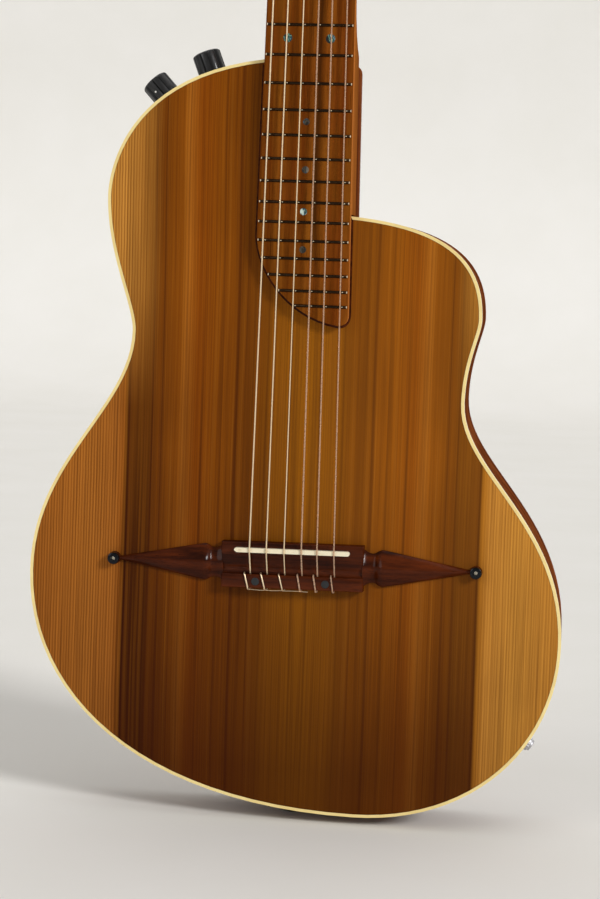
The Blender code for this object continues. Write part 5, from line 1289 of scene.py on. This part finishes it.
def makeKnobs():
    values = knobs
    start, height, radius = values["start"], values["height"], values["radius"]
    for number, (foot, out) in enumerate(values["axes"], start=1):
        place = alongLine(foot, Vector(foot) + Vector(out))
        count = values["flutes"] * 10
        rings = []
        for inset, level, depth in ((0.3, 0.0, 1.0), (0.0, 0.35, 1.0), (0.0, 13.0, 1.0), (0.35, 13.8, 0.8),
                                    (1.0, 14.3, 0.5), (1.7, 14.5, 0.1), (2.1, 14.7, 0.0), (4.0, 15.0, 0.0)):
            ring = []
            for step in range(count):
                angle = 2 * math.pi * step / count + values["turned"][number - 1]
                groove = max(0.0, math.cos(values["flutes"] * 2 * math.pi * step / count + 0.6)) ** 2.5
                reach = radius - inset * mm - groove * depth * values["fluteDepth"]
                ring.append((reach * math.cos(angle), reach * math.sin(angle), start + level * mm))
            rings.append(ring)
        knob = skinThrough(rings)
        cutAway(knob, addRod(5.9 * mm, (0, 0, start - mm), (0, 0, start + 1.0 * mm), 40))
        cutAway(knob, addRod(3.3 * mm, (0, 0, start - mm), (0, 0, start + 8 * mm), 32))
        setPlace(knob, place)
        finishPiece(knob, "flutedKnob.%d" % number, "knob", "knob_%d" % number, ("knob_%d" % number,), 30)
        if number == 1:
            across = Vector((math.cos(values["dotTurn"]), math.sin(values["dotTurn"]), 0.0))
            level = Vector((0.0, 0.0, start + values["dotHeight"]))
            dot = addRod(values["dot"], level + across * (radius - 1.6 * mm), level + across * (radius + 0.05 * mm), 24)
            easeEdges(dot, lambda point: (point - level).length > radius - 0.2 * mm, 0.2 * mm, 2)
            setPlace(dot, place)
            finishPiece(dot, "markerDot", "whitePaint", "knob_1")
        profile = ((8.0 * mm, -14.4 * mm), (8.0 * mm, -4.4 * mm), (3.4 * mm, -4.4 * mm), (3.4 * mm, 0.6 * mm),
                   (5.2 * mm, 0.6 * mm), (5.2 * mm, 2.2 * mm), (4.9 * mm, 2.4 * mm), (3.0 * mm, 2.4 * mm),
                   (3.0 * mm, 10.6 * mm), (2.7 * mm, 10.9 * mm))
        pot = turnPiece(profile, place, 36)
        finishPiece(pot, "potentiometer.%d" % number, "nickel", replaced=("pot_%d" % number,))
    print("knobs ready")


jack = {
    "foot": (156.677 * mm, 0.0, 52.7 * mm),
    "out": (0.84816, 0.0, -0.52974),
    "nut": 4.9 * mm,
    "bore": 3.25 * mm,
    "barrel": 4.0 * mm,
    "lip": 6.9 * mm,
    "strapFoot": (-0.574 * mm, 0.0, 2.702 * mm),
    "strapOut": (-0.15568, 0.0, -0.98781),
}


def makeJack():
    values = jack
    place = alongLine(values["foot"], Vector(values["foot"]) + Vector(values["out"]))
    nut, barrel, lip = values["nut"], values["barrel"], values["lip"]
    profile = ((6.0 * mm, -24 * mm), (6.0 * mm, -3.6 * mm), (barrel, -3.6 * mm), (barrel, 0.6 * mm),
               (nut + 0.6 * mm, 0.6 * mm), (nut + 0.6 * mm, 1.3 * mm), (nut, 1.3 * mm),
               (nut, lip - 2.0 * mm), (nut - 0.4 * mm, lip - 1.6 * mm), (barrel, lip - 1.6 * mm),
               (barrel, lip - 0.5 * mm), (barrel - 0.5 * mm, lip))
    body = turnPiece(profile, Matrix.Identity(4))
    cutAway(body, addRod(values["bore"], (0, 0, -20 * mm), (0, 0, lip + mm), 40))
    for step in range(16):  # the gripping notches round the ring nut
        angle = 2 * math.pi * step / 16
        middle = Vector((math.cos(angle), math.sin(angle), 0.0)) * (nut + 0.25 * mm)
        cutAway(body, addRod(0.5 * mm, middle + Vector((0, 0, 1.6 * mm)), middle + Vector((0, 0, lip)), 10))
    setPlace(body, place)
    finishPiece(body, "outputJack", "satinChrome", replaced=("output_jack",))

    strap = ((1.9 * mm, -26 * mm), (1.9 * mm, 0.6 * mm), (6.0 * mm, 0.6 * mm), (6.0 * mm, 1.2 * mm),
             (5.5 * mm, 1.8 * mm), (4.5 * mm, 2.4 * mm), (4.0 * mm, 3.1 * mm), (3.9 * mm, 4.0 * mm),
             (4.3 * mm, 4.9 * mm), (5.6 * mm, 5.9 * mm), (6.7 * mm, 6.4 * mm), (7.0 * mm, 6.9 * mm),
             (7.0 * mm, 7.6 * mm), (6.7 * mm, 8.1 * mm), (6.0 * mm, 8.4 * mm), (3.2 * mm, 8.5 * mm))
    button = turnPiece(strap, Matrix.Identity(4))
    cutAway(button, addRod(2.6 * mm, (0, 0, 7.6 * mm), (0, 0, 10 * mm), 32))
    strapFoot = Vector(values["strapFoot"])
    setPlace(button, alongLine(strapFoot, strapFoot + Vector(values["strapOut"])))
    finishPiece(button, "strapButton", "gloss", replaced=("strap_button",))


cover = {
    "thick": 2.0 * mm,
    "screwReach": 28.5 * mm,
}


def makeCover():
    values = cover
    x, z = bodyShape["hatch"][:2]
    backY = guitar["backY"]
    halfX, halfZ = (side / 2 for side in bodyShape["hatch"][2:])
    plate = addBlock((x - halfX, x + halfX), (backY - values["thick"], backY), (z - halfZ, z + halfZ))
    easeUprights(plate, bodyShape["hatchCorner"])
    easeEdges(plate, lambda place: place.y > backY - 0.1 * mm, 0.5 * mm, 2)
    for number, side in enumerate((-1, 1), start=1):
        screwX = x + side * values["screwReach"]
        cutAway(plate, addRod(1.7 * mm, (screwX, backY + mm, z), (screwX, backY - 3 * mm, z), 24))
        profile = ((0.8 * mm, -4.2 * mm), (1.0 * mm, -1.4 * mm), (1.4 * mm, -0.5 * mm), (1.4 * mm, -0.12 * mm),
                   (1.1 * mm, 0.0))
        screw = turnPiece(profile, Matrix.Identity(4), 28)
        for turn in (0.3, 0.3 + math.pi / 2):
            slot = addBlock((-0.85 * mm, 0.85 * mm), (-0.17 * mm, 0.17 * mm), (-0.5 * mm, mm))
            setPlace(slot, Matrix.Rotation(turn, 4, "Z"))
            cutAway(screw, slot)
        setPlace(screw, alongLine((screwX, backY, z), (screwX, backY + mm, z)))
        finishPiece(screw, "coverScrew.%d" % number, "blackSteel", replaced=("cover_screw_%d" % number,))
    finishPiece(plate, "accessHatch", "satin", replaced=("access_cover",))
    print("fittings ready")


makeKnobs()
makeJack()
makeCover()


studio = {
    "aim": Vector((1.8 * mm, -32 * mm, 246.2 * mm)),
    "yaw": 7.27,                  # degrees to the treble side, above, and of tilt
    "pitch": 5.14,
    "roll": 1.94,
    "distance": 1377 * mm,
    "focal": 83.1,                # on a sensor 36 mm along the picture's long side
    "floorColour": "#E4E2DE",
    "skyColour": "#E4E2DE",
    "worldStrength": 0.33,
    # name, where it stands, how wide it is in degrees, strength
    "suns": (("keySun", (2.5, -2.0, 1.6), 14.0, 2.25), ("fillSun", (-2.0, -1.8, 1.2), 30.0, 0.55),
             ("topSun", (0.2, 0.4, 2.0), 60.0, 0.6), ("rearSun", (0.8, 2.0, 0.8), 60.0, 0.8)),
    "floorSize": 16.0,
    "wallDistance": 4.6,
}


def pointAt(thing, place, target):
    thing.location = place
    thing.rotation_mode = "QUATERNION"
    thing.rotation_quaternion = (Vector(target) - Vector(place)).to_track_quat("-Z", "Y")


def makeCamera():
    yaw, pitch, roll = (math.radians(studio[name]) for name in ("yaw", "pitch", "roll"))
    back = Vector((math.sin(yaw) * math.cos(pitch), -math.cos(yaw) * math.cos(pitch), math.sin(pitch)))
    right = Vector((math.cos(yaw), math.sin(yaw), 0.0))
    up = back.cross(right)
    tiltedRight = right * math.cos(roll) + up * math.sin(roll)
    tiltedUp = up * math.cos(roll) - right * math.sin(roll)
    bpy.ops.object.camera_add()
    camera = bpy.context.object
    camera.name = "photoCamera"
    camera.data.lens = studio["focal"]
    camera.data.sensor_width = 36
    axes = Matrix((tiltedRight, tiltedUp, back)).transposed()
    camera.matrix_world = Matrix.Translation(studio["aim"] + back * studio["distance"]) @ axes.to_4x4()
    bpy.context.scene.camera = camera


def makeStage():
    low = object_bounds()[0].z
    size, wall = studio["floorSize"], studio["wallDistance"]
    bpy.ops.mesh.primitive_plane_add(size=size, location=(0.0, 0.0, low))
    floor = bpy.context.object
    floor.name = "floor"
    setPlace(floor)
    editMesh(floor)
    pickVerts(floor, lambda place: place.y > 0.0)
    bpy.ops.transform.translate(value=(0.0, wall - size / 2, 0.0))
    bpy.ops.mesh.extrude_region_move(TRANSFORM_OT_translate={"value": (0.0, 0.0, size / 2)})
    bpy.ops.object.mode_set(mode="OBJECT")
    bevelAll(floor, 0.9, 16)
    bpy.ops.object.shade_smooth()
    material, tree, shader = newMaterial("StudioPaper", studio["floorColour"], 0.85)
    mottle = noiseField(tree, (1.0, 1.0, 1.0), 5.0, 3.0)
    tree.links.new(mixColours(tree, rescale(tree, mottle, 0.3, 0.7, 0.0, 1.0), linear(studio["floorColour"]),
                              linear("#E1DFDA")), shader.inputs["Base Color"])
    floor.data.materials.append(material)


def makeLights():
    for name, way, spread, strength in studio["suns"]:
        bpy.ops.object.light_add(type="SUN")
        lamp = bpy.context.object
        lamp.name = name
        lamp.data.angle = math.radians(spread)
        lamp.data.energy = strength
        pointAt(lamp, way, (0.0, 0.0, 0.0))
    world = bpy.data.worlds.new("studioWorld")
    bpy.context.scene.world = world
    world.use_nodes = True
    tree = world.node_tree
    back = tree.nodes["Background"]
    seen = addNode(tree, "LightPath", {}, {}).outputs["Is Camera Ray"]
    colour = mixColours(tree, seen, linear("#FFFDFA"), linear(studio["skyColour"]))
    tree.links.new(colour, back.inputs["Color"])
    tree.links.new(rescale(tree, seen, 0.0, 1.0, studio["worldStrength"], 1.0), back.inputs["Strength"])


makeCamera()
makeStage()
makeLights()
bpy.context.scene.view_settings.view_transform = "Standard"
print("camera, floor and lights ready")
